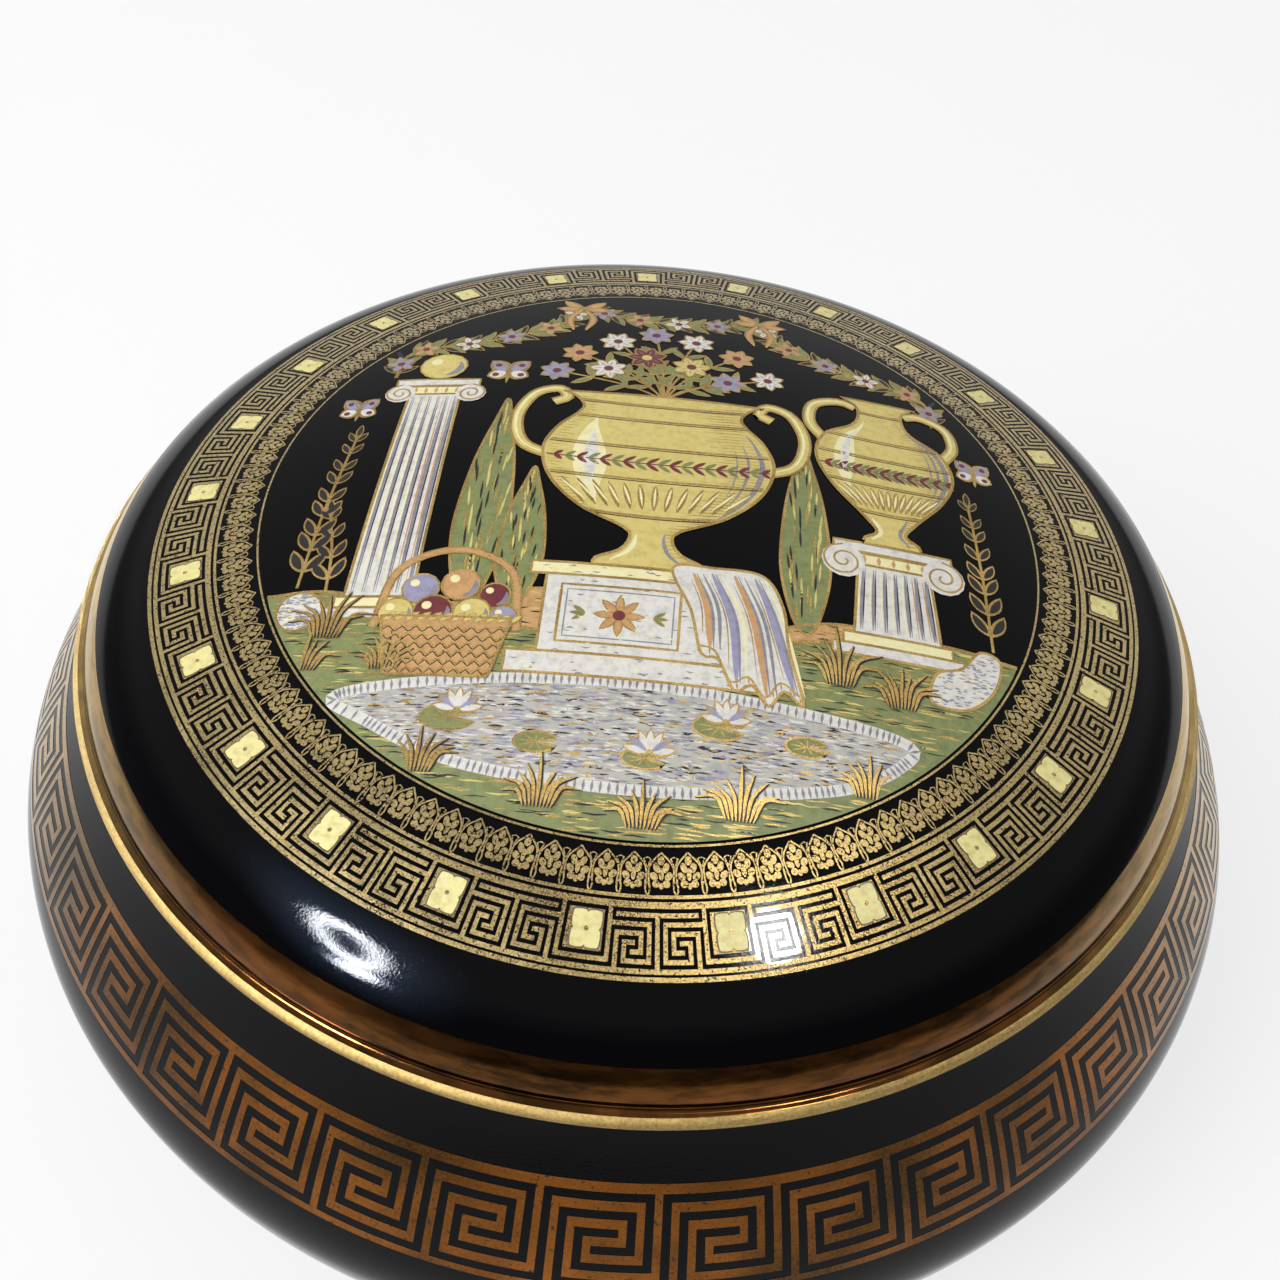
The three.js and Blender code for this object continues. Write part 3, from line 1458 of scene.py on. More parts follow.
class Canvas:
    """Round field of the lid that is painted, with one sheet for each paint.

    Motifs that overlap stand on different levels. Within a level, what is painted over something else
    lies higher.
    """

    first_lift: float = 0.022
    layer_lift: float = 0.003
    layers: int = 4

    def __init__(self, skin: Skin, radius: float) -> None:
        """Starts an empty canvas.

        Args:
            skin: Surface of the lid.
            radius: Radius of the field.
        """
        self.radius = radius
        self.sheets = {paint: Sheet(skin, flat=True) for paint in Paint}
        self.dice = random.Random(11)
        self.level = 0.0

    def at(self, level: float) -> Canvas:
        """Moves to a level."""
        self.level = level
        return self

    def add(self, patch: Patch, paint: Paint, over: int) -> None:
        """Adds a patch, if it lies in the field.

        Args:
            patch: The patch.
            paint: Its paint.
            over: Its place among the layers of the level, from 0 at the back to 3.
        """
        if np.linalg.norm(patch.points, axis=1).max() < self.radius:
            layer = self.layers * self.level + over
            self.sheets[paint].add(patch, self.first_lift + self.layer_lift * layer)

    def fill(self, outline: Outline, paint: Paint, over: int = 0) -> None:
        """Fills an outline."""
        self.add(filled(outline), paint, over)

    def stroke(self, line: Outline, width: float, paint: Paint, over: int = 2, closed: bool = False) -> None:
        """Draws a line of even width.

        Args:
            line: The line.
            width: Its width.
            paint: Its paint.
            over: Its layer in the level.
            closed: True for a loop.
        """
        self.add(ribbon(spaced(line, 1.0, closed), width, closed), paint, over)

    def brush(self, line: Outline, width: float, paint: Paint, over: int = 2) -> None:
        """Draws a brush mark that swells and ends in points.

        Args:
            line: The line.
            width: Its greatest width.
            paint: Its paint.
            over: Its layer in the level.
        """
        points = spaced(line, 0.7, False)
        shares = np.linspace(0, 1, len(points))
        self.add(ribbon(points, width * np.sin(math.pi * (0.03 + 0.94 * shares)) ** 0.7), paint, over)

    def shape(self, outline: Outline, paint: Paint, edge: float = 0.3, over: int = 0) -> None:
        """Fills an outline and draws its edge in gold.

        Args:
            outline: The outline.
            paint: Its paint.
            edge: Width of the gold edge.
            over: Layer of the fill. The edge lies on the top layer of the level.
        """
        self.fill(outline, paint, over)
        self.stroke(outline, edge, Paint.GOLD, 3, closed=True)

    def leaf(
        self, start: Point, degrees: float, length: float, width: float, paint: Paint, curl: float = 0.0
    ) -> None:
        """Paints a leaf or petal with a gold edge.

        Args:
            start: Where it springs from.
            degrees: Its direction.
            length: Its length.
            width: Its greatest width.
            paint: Its paint.
            curl: Degrees by which it turns along its length.
        """
        self.add(petal(start, degrees, length, width, curl), Paint.GOLD, 1)
        if paint is not Paint.GOLD:
            inner = toward(start, degrees, 0.14 * length)
            self.add(petal(inner, degrees, 0.76 * length, 0.64 * width, curl), paint, 2)

    def disc(self, centre: Point, radius: float, paint: Paint, over: int = 2) -> None:
        """Paints a small disc."""
        self.fill(arc(centre, radius, radius, 0, 360, 14)[:-1], paint, over)

    def ball(self, centre: Point, radius: float, paint: Paint) -> None:
        """Paints a round thing with a gold edge, a shaded side and a glint.

        Args:
            centre: Its middle.
            radius: Its radius.
            paint: Its paint.
        """
        self.disc(centre, radius, Paint.GOLD, 0)
        self.disc(centre, radius - 0.2, paint, 1)
        self.brush(arc(centre, 0.72 * radius, 0.72 * radius, -75, 25), 0.3 * radius, Paint.GREY, 2)
        self.disc((centre[0] - 0.34 * radius, centre[1] + 0.34 * radius), 0.24 * radius, Paint.CREAM, 2)

    def dashes(
        self,
        outline: Outline,
        count: int,
        length: float,
        paints: Sequence[Paint],
        width: float = 0.18,
        around: Outline = (),
    ) -> None:
        """Scatters short level brush marks over an area.

        Args:
            outline: Edge of the area.
            count: Number of tries.
            length: Mean length of a mark.
            paints: Paints, taken in turn.
            width: Mean width of a mark.
            around: Edge of an area that is left out.
        """
        corners = np.array(outline)
        low, high = corners.min(0), corners.max(0)
        for i in range(count):
            x, y = (self.dice.uniform(low[k], high[k]) for k in (0, 1))
            half = length * self.dice.uniform(0.3, 0.8)
            bow = self.dice.uniform(-0.14, 0.14)
            ends = np.array([(x - half, y), (x, y + bow), (x + half, y)])
            if not inside(ends, corners).all() or (len(around) and inside(ends, np.array(around)).any()):
                continue
            mark = [tuple(p) for p in ends]
            self.brush(mark, width * self.dice.uniform(0.65, 1.35), paints[i % len(paints)], 1 + i % 2)

    def build(self) -> None:
        """Writes each paint as one piece."""
        for paint, sheet in self.sheets.items():
            name = f"picture_{paint.name.lower()}"
            slot = "gilding" if paint is Paint.GOLD else "picture_enamels"
            sheet.build(name, paint.value.material(), "cover", slot)


@dataclass(frozen=True)
class Pot:
    """Turned pot with two handles, seen from the side."""

    middle: float
    foot: float
    profile: tuple[Point, ...]
    handle: tuple[Point, ...]
    stripes: tuple[float, ...]
    wreath: float
    tongues: tuple[float, float]

    def half_width(self, height: float) -> float:
        """Half the pot's width at a height above its foot."""
        side = smooth(self.profile)
        return float(np.interp(height, [p[1] for p in side], [p[0] for p in side]))

    def spot(self, share: float, height: float) -> Point:
        """Place on the pot.

        Args:
            share: From -1 at the left side to 1 at the right.
            height: Height above the foot.

        Returns:
            The place on the picture.
        """
        dip = 0.06 * self.half_width(height) * (1 - share * share)
        return self.middle + share * self.half_width(height), self.foot + height - dip

    def seam(self, share: float, low: float, high: float, bulge: float = 0.0) -> list[Point]:
        """Line up the pot.

        Args:
            share: Place across the pot, from -1 to 1.
            low: First height as a share of the pot's.
            high: Last height as a share of the pot's.
            bulge: Share of the half width by which the line bows to the right.

        Returns:
            The line.
        """
        top = self.profile[-1][1]
        line = []
        for t in (i / 20 for i in range(21)):
            across = share + bulge * math.sin(math.pi * t)
            line.append(self.spot(across, top * (low + (high - low) * t)))
        return line

    def draw(self, canvas: Canvas, level: float) -> None:
        """Paints the pot.

        Args:
            canvas: Where it is painted.
            level: Level of its handles. Its body stands one higher.
        """
        canvas.at(level)
        for side in (-1, 1):
            line = smooth([(self.middle + side * x, self.foot + y) for x, y in self.handle])
            canvas.stroke(line, 1.5, Paint.GOLD, 0)
            canvas.stroke(line, 0.95, Paint.OCHRE, 1)
            canvas.brush([(x - 0.12, y + 0.1) for x, y in line], 0.3, Paint.CREAM, 2)
        canvas.at(level + 1)
        side = smooth(self.profile)
        right = [(self.middle + x, self.foot + y) for x, y in side]
        left = [(self.middle - x, self.foot + y) for x, y in side[::-1]]
        canvas.shape(right + left, Paint.OCHRE, 0.36)
        canvas.fill(self.seam(-0.74, 0.3, 0.84) + self.seam(-0.74, 0.3, 0.84, 0.3)[::-1], Paint.CREAM, 1)
        canvas.fill(self.seam(-0.64, 0.42, 0.76) + self.seam(-0.64, 0.42, 0.76, 0.12)[::-1], Paint.WHITE, 2)
        canvas.brush(self.seam(-0.72, 0.03, 0.16), 0.5, Paint.CREAM, 1)
        shades = ((0.9, 0.28, 0.8, 0.6), (0.78, 0.36, 0.74, 0.34), (0.68, 0.42, 0.7, 0.2))
        for share, low, high, width in shades:
            canvas.brush(self.seam(share, low, high), width, Paint.GREY, 1)
        canvas.brush(self.seam(0.6, 0.02, 0.18), 0.4, Paint.GREY, 1)
        for i, height in enumerate(np.arange(0.03, 0.97, 0.018) * self.profile[-1][1]):
            start = 0.42 + 0.22 * (i * 7 % 5) / 5
            line = [self.spot(start + (0.97 - start) * k / 4, height) for k in range(5)]
            canvas.brush(line, 0.13, Paint.GOLD, 1)
            mark = [self.spot(-0.97, height), self.spot(-0.86 + 0.03 * (i % 3), height)]
            canvas.brush(mark, 0.12, Paint.GOLD, 1)
        shares = np.linspace(-0.97, 0.97, 17)
        for height in self.stripes:
            canvas.stroke([self.spot(s, height) for s in shares], 0.3, Paint.GOLD, 2)
            canvas.stroke([self.spot(s, height - 0.32) for s in shares], 0.14, Paint.BLACK, 2)
        canvas.stroke([self.spot(s, self.wreath) for s in shares], 0.18, Paint.RED, 2)
        for i, share in enumerate(np.linspace(-0.9, 0.9, 19)):
            narrow = math.sqrt(1 - 0.8 * share * share)
            for turn in (38, -38):
                start = self.spot(share, self.wreath)
                canvas.add(petal(start, turn, 1.5 * narrow + 0.3, 0.5), (Paint.RED, Paint.GREEN)[i % 2], 2)
        for share in np.linspace(-0.88, 0.88, 13):
            low, high = (self.spot(share, height) for height in self.tongues)
            canvas.brush([low, high], 0.75 * math.sqrt(1 - 0.85 * share * share), Paint.GOLD, 2)
            canvas.brush([toward(low, 90, 0.6), toward(high, -90, 0.35)], 0.26, Paint.CREAM, 3)


@dataclass(frozen=True)
class Pillar:
    """Fluted pillar on a moulded base, with a scrolled capital."""

    middle: float
    foot: float
    top: float
    half: float
    flutes: int = 6

    def draw(self, canvas: Canvas, level: float) -> None:
        """Paints the pillar.

        Args:
            canvas: Where it is painted.
            level: Level of its shaft. Its base and capital stand higher.
        """
        canvas.at(level)
        half, neck = self.half, 0.86 * self.half
        low, high = self.foot + 2.6, self.top - 3.0
        corners = [(-half, low), (half, low), (neck, high), (-neck, high)]
        canvas.shape([(self.middle + x, y) for x, y in corners], Paint.WHITE)
        for i in range(self.flutes):
            share = -1 + (2 * i + 1) / self.flutes
            ends = [(self.middle + share * half, low + 0.5), (self.middle + share * neck, high - 0.5)]
            canvas.brush(ends, 0.36 + 0.24 * max(0.0, share), Paint.GREY, 1)
            canvas.brush([(x + 0.2, y) for x, y in ends], 0.14, Paint.BLACK, 2)
            light = Paint.CREAM if share < 0.4 else Paint.PEACH
            canvas.brush([(x - 0.34, y) for x, y in ends], 0.18, light, 1)
        canvas.at(level + 1)
        for wide, start, end, paint in (
            (1.5, self.foot, self.foot + 1.3, Paint.WHITE),
            (1.25, self.foot + 1.3, self.foot + 2.6, Paint.CREAM),
            (1.2, high, high + 1.5, Paint.CREAM),
            (1.42, self.top - 1.3, self.top, Paint.WHITE),
        ):
            canvas.shape(block(self.middle, wide * half, start, end), paint)
        for share in np.linspace(-0.7, 0.7, 5):
            spot = (self.middle + share * half, high + 0.2)
            canvas.brush([spot, toward(spot, 90, 1.1)], 0.45, Paint.PEACH)
        canvas.at(level + 2)
        for side in (-1, 1):
            eye = (self.middle + side * 1.2 * half, high + 0.2)
            canvas.disc(eye, 0.52 * half, Paint.WHITE, 0)
            turns = [toward(eye, 90 - side * 40 * i, (0.52 - 0.027 * i) * half) for i in range(18)]
            canvas.stroke(smooth(turns, spacing=0.4), 0.24, Paint.GOLD, 1)


@dataclass
class Picture:
    """Painted field of the lid: a garden with pots, pillars, a lily pool and garlands."""

    skin: Skin
    radius: float = 39.95
    far_edge: tuple[Point, ...] = (
        (-36.3, -16.4), (-30.0, -16.0), (-20.0, -18.4), (-8.0, -20.0),
        (6.0, -19.6), (18.0, -17.6), (28.0, -15.8), (36.3, -16.4),
    )
    pool: tuple[Point, ...] = (
        (-27.0, -27.6), (-15.0, -25.6), (0.0, -25.0), (13.0, -25.8), (24.0, -27.2),
        (24.8, -29.2), (18.0, -33.2), (2.0, -35.4), (-14.0, -34.2), (-23.8, -30.2),
    )
    krater: Pot = Pot(
        middle=0.0,
        foot=-11.6,
        profile=(
            (5.4, 0.0), (5.2, 0.9), (3.0, 2.1), (2.1, 3.8), (2.8, 5.2), (7.4, 7.8), (10.9, 11.8),
            (12.2, 16.4), (11.1, 20.2), (9.2, 22.8), (8.6, 24.4), (9.7, 26.2), (11.2, 27.0),
        ),
        handle=(
            (10.4, 15.0), (14.4, 17.2), (15.6, 21.8), (14.2, 26.2),
            (11.6, 27.4), (10.6, 25.8), (12.0, 24.8),
        ),
        stripes=(7.3, 13.0, 18.2, 22.8, 25.6),
        wreath=15.6,
        tongues=(8.3, 12.2),
    )
    amphora: Pot = Pot(
        middle=24.4,
        foot=-4.2,
        profile=(
            (3.0, 0.0), (2.8, 0.9), (1.5, 2.0), (2.7, 4.0), (6.0, 8.4), (7.6, 12.8),
            (6.6, 16.8), (3.4, 19.4), (2.5, 21.6), (2.8, 23.6), (4.4, 24.8),
        ),
        handle=((6.8, 16.0), (8.2, 18.8), (7.6, 22.2), (4.8, 23.6), (2.8, 23.0)),
        stripes=(5.0, 9.6, 14.2, 17.4, 22.4),
        wreath=11.8,
        tongues=(5.6, 9.0),
    )
    rocks: tuple[tuple[Point, ...], ...] = (
        (
            (27.4, -22.4), (28.0, -19.2), (30.6, -18.0), (32.6, -15.6),
            (34.6, -16.4), (33.6, -20.0), (30.8, -22.6),
        ),
        (
            (-34.8, -19.0), (-34.4, -16.8), (-32.4, -16.0),
            (-30.4, -17.6), (-31.0, -19.8), (-33.2, -20.6),
        ),
    )
    tufts: tuple[tuple[float, float, float], ...] = (
        (-29.6, -21.4, 5.0), (18.6, -22.4, 5.2), (24.4, -23.8, 4.2), (-7.6, -37.6, 4.0),
        (9.8, -37.2, 4.2), (1.4, -38.8, 3.6), (-18.6, -35.0, 3.6), (-23.4, -24.8, 3.4),
        (21.2, -33.4, 3.2), (-31.0, -25.0, 3.6),
    )

    def field_edge(self) -> list[Point]:
        """Edge of the ground.

        Returns:
            The far edge and the round rim in front.
        """
        rim = self.radius - 0.05
        start = math.degrees(math.atan2(self.far_edge[-1][1], self.far_edge[-1][0]))
        return smooth(self.far_edge) + arc((0.0, 0.0), rim, rim, start, -180 - start, 70)[1:-1]

    def ground(self, canvas: Canvas) -> None:
        """Paints the green bank with its fine level strokes.

        Args:
            canvas: Where it is painted.
        """
        edge = self.field_edge()
        pool = smooth(self.pool, closed=True)
        canvas.at(0).fill(edge, Paint.GREEN)
        canvas.dashes(edge, 2600, 1.5, (Paint.GOLD, Paint.BLACK, Paint.GOLD, Paint.OCHRE), 0.15, pool)
        canvas.stroke(smooth(self.far_edge), 0.36, Paint.GOLD, 3)
        hills = (
            [(-19.5, -18.6), (-15.0, -16.0), (-9.5, -15.0), (-3.0, -16.4), (3.0, -18.8), (-7.0, -20.0)],
            [(10.0, -18.8), (14.0, -16.6), (19.0, -15.4), (24.5, -16.0), (17.0, -17.8)],
        )
        canvas.at(0.75)
        for hill in hills:
            line = smooth(hill, closed=True)
            canvas.shape(line, Paint.PEACH)
            canvas.dashes(line, 110, 1.2, (Paint.GOLD, Paint.OCHRE, Paint.BLACK), 0.14)

    def water(self, canvas: Canvas) -> None:
        """Paints the pool with its stone kerb, ripples and lilies.

        Args:
            canvas: Where it is painted.
        """
        pool = smooth(self.pool, closed=True)
        canvas.at(1).fill(pool, Paint.WATER)
        ripples = (Paint.WHITE, Paint.LILAC, Paint.GOLD, Paint.WHITE, Paint.BLACK, Paint.GREY)
        canvas.dashes(pool, 2400, 1.0, ripples, 0.17)
        canvas.at(2).stroke(pool, 1.6, Paint.GOLD, 0, closed=True)
        canvas.stroke(pool, 1.1, Paint.WHITE, 1, closed=True)
        line = spaced(pool, 2.1, True)
        ways = np.roll(line, -1, 0) - np.roll(line, 1, 0)
        for place, way in zip(line, ways / np.linalg.norm(ways, axis=1)[:, None]):
            side = np.array([-way[1], way[0]])
            canvas.brush([tuple(place - 0.55 * side), tuple(place + 0.55 * side)], 0.3, Paint.GREY, 2)
        pads = ((-16.5, -29.6, 2.6), (-8.4, -31.6, 2.0), (7.6, -28.6, 2.4))
        for x, y, size in (*pads, (15.6, -29.4, 2.0), (1.2, -32.4, 2.0)):
            pad = arc((x, y), size, 0.5 * size, 20, 340, 14) + [(x, y)]
            canvas.at(3).shape(pad, Paint.GREEN, 0.24)
            for degrees in range(50, 340, 40):
                across, up = toward((0.0, 0.0), degrees, 0.8 * size)
                canvas.brush([(x, y), (x + across, y + up / 2)], 0.14, Paint.GOLD, 1)
        canvas.at(4)
        for x, y in ((-15.8, -28.9), (8.2, -28.0), (1.6, -31.8)):
            for degrees in (12, 168, 38, 142, 64, 116, 90):
                paint = Paint.LILAC if degrees in (38, 142) else Paint.WHITE
                canvas.leaf((x, y), degrees, 2.5, 0.95, paint)

    def plinth(self, canvas: Canvas) -> None:
        """Paints the stone plinth under the large pot.

        Args:
            canvas: Where it is painted.
        """
        canvas.at(4)
        for half, low, high, paint in (
            (12.4, -24.6, -22.2, Paint.WHITE),
            (9.6, -22.2, -13.1, Paint.WHITE),
            (11.2, -13.1, -11.6, Paint.CREAM),
        ):
            canvas.shape(block(0.0, half, low, high), paint)
            canvas.dashes(block(0.0, half, low, high), 60, 0.6, (Paint.GREY, Paint.CREAM))
        x, y = -2.3, -17.65
        canvas.stroke(block(x, 5.7, -21.0, -14.3), 0.28, Paint.GOLD, 2, closed=True)
        canvas.stroke(block(x, 5.1, -20.4, -14.9), 0.14, Paint.GREY, 2, closed=True)
        for degrees in range(0, 360, 45):
            canvas.leaf((x, y), degrees, 2.5, 0.95, Paint.PEACH)
        canvas.disc((x, y), 0.6, Paint.RED, 3)
        for side in (-1, 1):
            for turn in (0, 35, -35):
                canvas.leaf((x + side * 3.2, y), 90 - side * 90 + turn, 1.5, 0.5, Paint.GREEN)

    def cloth(self, canvas: Canvas) -> None:
        """Paints the cloth that hangs from the plinth's slab.

        Args:
            canvas: Where it is painted.
        """
        slab = [(2.4, -11.2), (6.6, -10.7), (11.2, -11.0), (13.2, -14.6), (13.8, -19.4)]
        hem = [(15.2, -25.2), (13.4, -24.0), (12.0, -25.8), (10.4, -23.8)]
        hem += [(8.8, -24.6), (7.2, -21.4), (5.6, -21.0)]
        canvas.at(7).shape(smooth([*slab, *hem, (4.4, -16.2)], closed=True), Paint.WHITE)
        folds = (
            ((10.4, -11.4), (12.2, -16.0), (14.4, -24.4)),
            ((8.4, -11.4), (10.6, -17.0), (11.8, -24.8)),
            ((6.2, -11.4), (8.4, -16.8), (9.0, -23.8)),
            ((4.4, -11.6), (6.0, -15.6), (6.4, -20.4)),
        )
        for i, fold in enumerate(folds):
            line = smooth(fold)
            canvas.brush(line, 0.9, Paint.PEACH if i % 2 else Paint.LILAC, 1)
            canvas.brush([(x + 0.34, y) for x, y in line], 0.3, Paint.GREY, 2)
            canvas.brush([(x + 0.95, y) for x, y in line], 0.36, Paint.GREY if i % 2 else Paint.CREAM, 2)
            canvas.brush([(x - 0.7, y + 0.3) for x, y in line[2:-2]], 0.14, Paint.GOLD, 2)
        border = smooth([(x - 0.35, y + 0.85) for x, y in hem])
        canvas.stroke(border, 0.22, Paint.GOLD, 2)
        for x, y in border[::2]:
            canvas.brush([(x, y), (x + 0.1, y - 0.8)], 0.2, Paint.GOLD, 3)

    def blossom(self, canvas: Canvas, place: Point, size: float, paint: Paint, petals: int = 7) -> None:
        """Paints an open flower.

        Args:
            canvas: Where it is painted.
            place: Its middle.
            size: Its radius.
            paint: Paint of its petals.
            petals: Their number.
        """
        turn = canvas.dice.uniform(0, 60)
        for i in range(petals):
            degrees = turn + 360 * i / petals
            canvas.leaf(place, degrees, size, 0.64 * size, paint)
            vein = [toward(place, degrees, share * size) for share in (0.25, 0.7)]
            canvas.brush(vein, 0.13, Paint.GREY, 3)
        canvas.disc(place, 0.24 * size, Paint.RED if paint is not Paint.RED else Paint.OCHRE, 3)

    def bouquet(self, canvas: Canvas) -> None:
        """Paints the flowers that stand in the large pot.

        Args:
            canvas: Where it is painted.
        """
        mouth = (0.0, 15.0)
        flowers = (
            (-12.4, 19.6, 2.1, Paint.LILAC),
            (-10.2, 23.8, 2.2, Paint.PEACH),
            (-6.0, 27.0, 2.3, Paint.WHITE),
            (-1.6, 29.2, 2.2, Paint.LILAC),
            (3.2, 28.2, 2.3, Paint.WHITE),
            (8.0, 25.6, 2.2, Paint.PEACH),
            (11.6, 21.4, 2.1, Paint.WHITE),
            (-6.6, 20.6, 2.3, Paint.WHITE),
            (-2.4, 23.6, 2.5, Paint.RED),
            (2.8, 22.4, 2.4, Paint.OCHRE),
            (7.0, 19.8, 2.2, Paint.LILAC),
        )
        for i, (x, y, size, paint) in enumerate(flowers):
            stem = smooth([mouth, (0.35 * x, mouth[1] + 0.5 * (y - mouth[1])), (x, y)])
            canvas.at(2).stroke(stem, 0.3, Paint.GOLD, 0)
            for share in (0.4, 0.72):
                spot = stem[int(share * (len(stem) - 1))]
                for side in (-1, 1):
                    way = math.degrees(math.atan2(y - mouth[1], x)) + side * 50
                    canvas.leaf(spot, way, 2.9, 0.95, Paint.GREEN)
            self.blossom(canvas.at(3 + i % 2), (x, y), size, paint)

    def basket(self, canvas: Canvas) -> None:
        """Paints the wicker basket of fruit.

        Args:
            canvas: Where it is painted.
        """
        x, low, high = -18.4, -25.4, -19.6
        bend = ((-6.8, high - 0.6), (-5.4, -13.2), (0.0, -10.6), (5.4, -13.2), (6.8, high - 0.6))
        side = smooth([(x + across, up) for across, up in bend])
        canvas.at(5).stroke(side, 0.9, Paint.GOLD, 0)
        canvas.stroke(side, 0.5, Paint.PEACH, 1)
        for i in range(0, len(side) - 1, 2):
            canvas.brush([side[i], side[i + 1]], 0.24, Paint.GOLD, 2)
        rows = (
            ((-3.0, 4.0, 1.9, Paint.LILAC), (0.8, 4.6, 2.0, Paint.PEACH), (4.2, 3.4, 1.6, Paint.RED)),
            (
                (-4.9, 1.1, 1.8, Paint.OCHRE),
                (-1.4, 1.3, 2.0, Paint.RED),
                (2.3, 1.2, 1.9, Paint.OCHRE),
                (5.3, 0.9, 1.4, Paint.LILAC),
            ),
        )
        for level, row in enumerate(rows, 6):
            for across, up, size, paint in row:
                canvas.at(level).ball((x + across, high + up), size, paint)
        body = ((-6.2, high + 0.7), (-4.8, low), (4.8, low), (6.2, high + 0.7))
        canvas.at(8).shape([(x + across, up) for across, up in body], Paint.PEACH)
        for row in range(6):
            y = low + 0.6 + 0.92 * row
            half = 4.8 + 1.2 * (y - low) / (high - low)
            for paint, drop in ((Paint.GOLD, 0.0), (Paint.BLACK, 0.22)):
                wave = [(x - half + half * i / 9, y - drop + 0.28 * (-1) ** (i + row)) for i in range(19)]
                canvas.stroke(smooth(wave, spacing=0.4), 0.24 if not drop else 0.1, paint, 1)
        for i in range(12):
            canvas.leaf((x - 6.0 + 1.08 * i, high + 0.1), 40, 1.7, 0.7, Paint.OCHRE)

    def rock(self, canvas: Canvas, knots: Outline) -> None:
        """Paints a pale speckled rock.

        Args:
            canvas: Where it is painted.
            knots: Points that its edge passes through.
        """
        edge = smooth(knots, closed=True)
        canvas.at(5).shape(edge, Paint.WHITE)
        canvas.dashes(edge, 260, 0.5, (Paint.GREY, Paint.LILAC, Paint.CREAM, Paint.GREY), 0.18)

    def tuft(self, canvas: Canvas, place: Point, size: float) -> None:
        """Paints a tuft of grass.

        Args:
            canvas: Where it is painted.
            place: Its foot.
            size: Length of its blades.
        """
        for i in range(9):
            lean = (i - 4) * 17 + canvas.dice.uniform(-5, 5)
            reach = size * (1.1 - 0.06 * abs(i - 4)) * canvas.dice.uniform(0.75, 1.1)
            start = (place[0] + 0.3 * (i - 4), place[1])
            bend = toward(start, 90 - 0.35 * lean, 0.6 * reach)
            blade = smooth([start, bend, toward(bend, 90 - 1.35 * lean, 0.5 * reach)])
            canvas.brush([(x + 0.1, y - 0.08) for x, y in blade], 0.44, Paint.BLACK, 0)
            canvas.brush(blade, 0.34, Paint.GOLD, 1 + i % 2)

    def sprig(self, canvas: Canvas, place: Point, height: float, lean: float) -> None:
        """Paints an upright sprig with paired leaves.

        Args:
            canvas: Where it is painted.
            place: Its foot.
            height: Its height.
            lean: Degrees by which it leans to the right.
        """
        bend = toward(place, 90 - 0.6 * lean, 0.5 * height)
        stem = smooth([place, bend, toward(place, 90 - lean, height)])
        canvas.stroke(stem, 0.3, Paint.GOLD, 1)
        pairs = max(3, round(height / 2.5))
        for i in range(1, pairs + 1):
            spot = stem[min(len(stem) - 1, int(len(stem) * i / (pairs + 0.4)))]
            reach = 3.5 * (1 - 0.45 * i / pairs)
            for side in (-1, 1):
                canvas.leaf(spot, 90 - lean - side * 42, reach, 0.42 * reach, Paint.BLACK, side * 20)
        canvas.leaf(stem[-1], 90 - lean, 2.3, 0.85, Paint.BLACK)

    def cypress(self, canvas: Canvas, place: Point, height: float, half: float) -> None:
        """Paints a slender tree.

        Args:
            canvas: Where it is painted.
            place: Its foot.
            height: Its height.
            half: Half its width.
        """
        x, y = place
        side = ((0.5 * half, 0.06), (half, 0.3), (0.8 * half, 0.62), (0.3 * half, 0.88))
        right = [(x + w, y + h * height) for w, h in side]
        left = [(x - w, y + h * height) for w, h in side[::-1]]
        canvas.shape(smooth([(x, y), *right, (x, y + height), *left], closed=True), Paint.GREEN)
        for i in range(60):
            share = 0.05 + 0.85 * i / 60
            across = half * 0.75 * math.sin(math.pi * min(1.0, share + 0.12)) * canvas.dice.uniform(-1, 1)
            start = (x + across, y + share * height)
            way = 90 - 9 * across / half
            paint = (Paint.GOLD, Paint.BLACK, Paint.OCHRE)[i % 3]
            canvas.brush([start, toward(start, way, 0.09 * height)], 0.24, paint, 1 + i % 2)

    def garland(self, canvas: Canvas, knots: Outline) -> None:
        """Paints a hanging garland of leaves with flowers.

        Args:
            canvas: Where it is painted.
            knots: Points that it hangs through.
        """
        line = smooth(knots, spacing=1.0)
        canvas.at(1).stroke(line, 0.45, Paint.GOLD, 0)
        for i in range(1, len(line) - 1):
            across, up = (line[i + 1][k] - line[i - 1][k] for k in (0, 1))
            way = math.degrees(math.atan2(up, across))
            for side in (-1, 1):
                turn = way + side * (40 + 12 * (i % 2))
                canvas.leaf(line[i], turn, 2.7, 0.9, (Paint.GREEN, Paint.BLACK, Paint.GREEN)[i % 3])
        for i in range(3, len(line) - 2, 5):
            paint = (Paint.LILAC, Paint.WHITE, Paint.PEACH)[i % 3]
            self.blossom(canvas.at(2), line[i], 1.8, paint, 5)

    def bow(self, canvas: Canvas, place: Point) -> None:
        """Paints a ribbon bow with two tails.

        Args:
            canvas: Where it is painted.
            place: Its knot.
        """
        x, y = place
        canvas.at(3)
        for side in (-1, 1):
            tail = smooth([place, (x + side * 1.4, y - 3.0), (x + side * 0.7, y - 6.0)])
            canvas.brush(tail, 1.0, Paint.GOLD, 0)
            canvas.brush(tail, 0.5, Paint.PEACH, 1)
            for degrees in (28, -14):
                canvas.leaf(place, 90 - side * (90 - degrees), 3.4, 1.5, Paint.PEACH, side * 24)
        canvas.disc(place, 0.6, Paint.GOLD, 3)

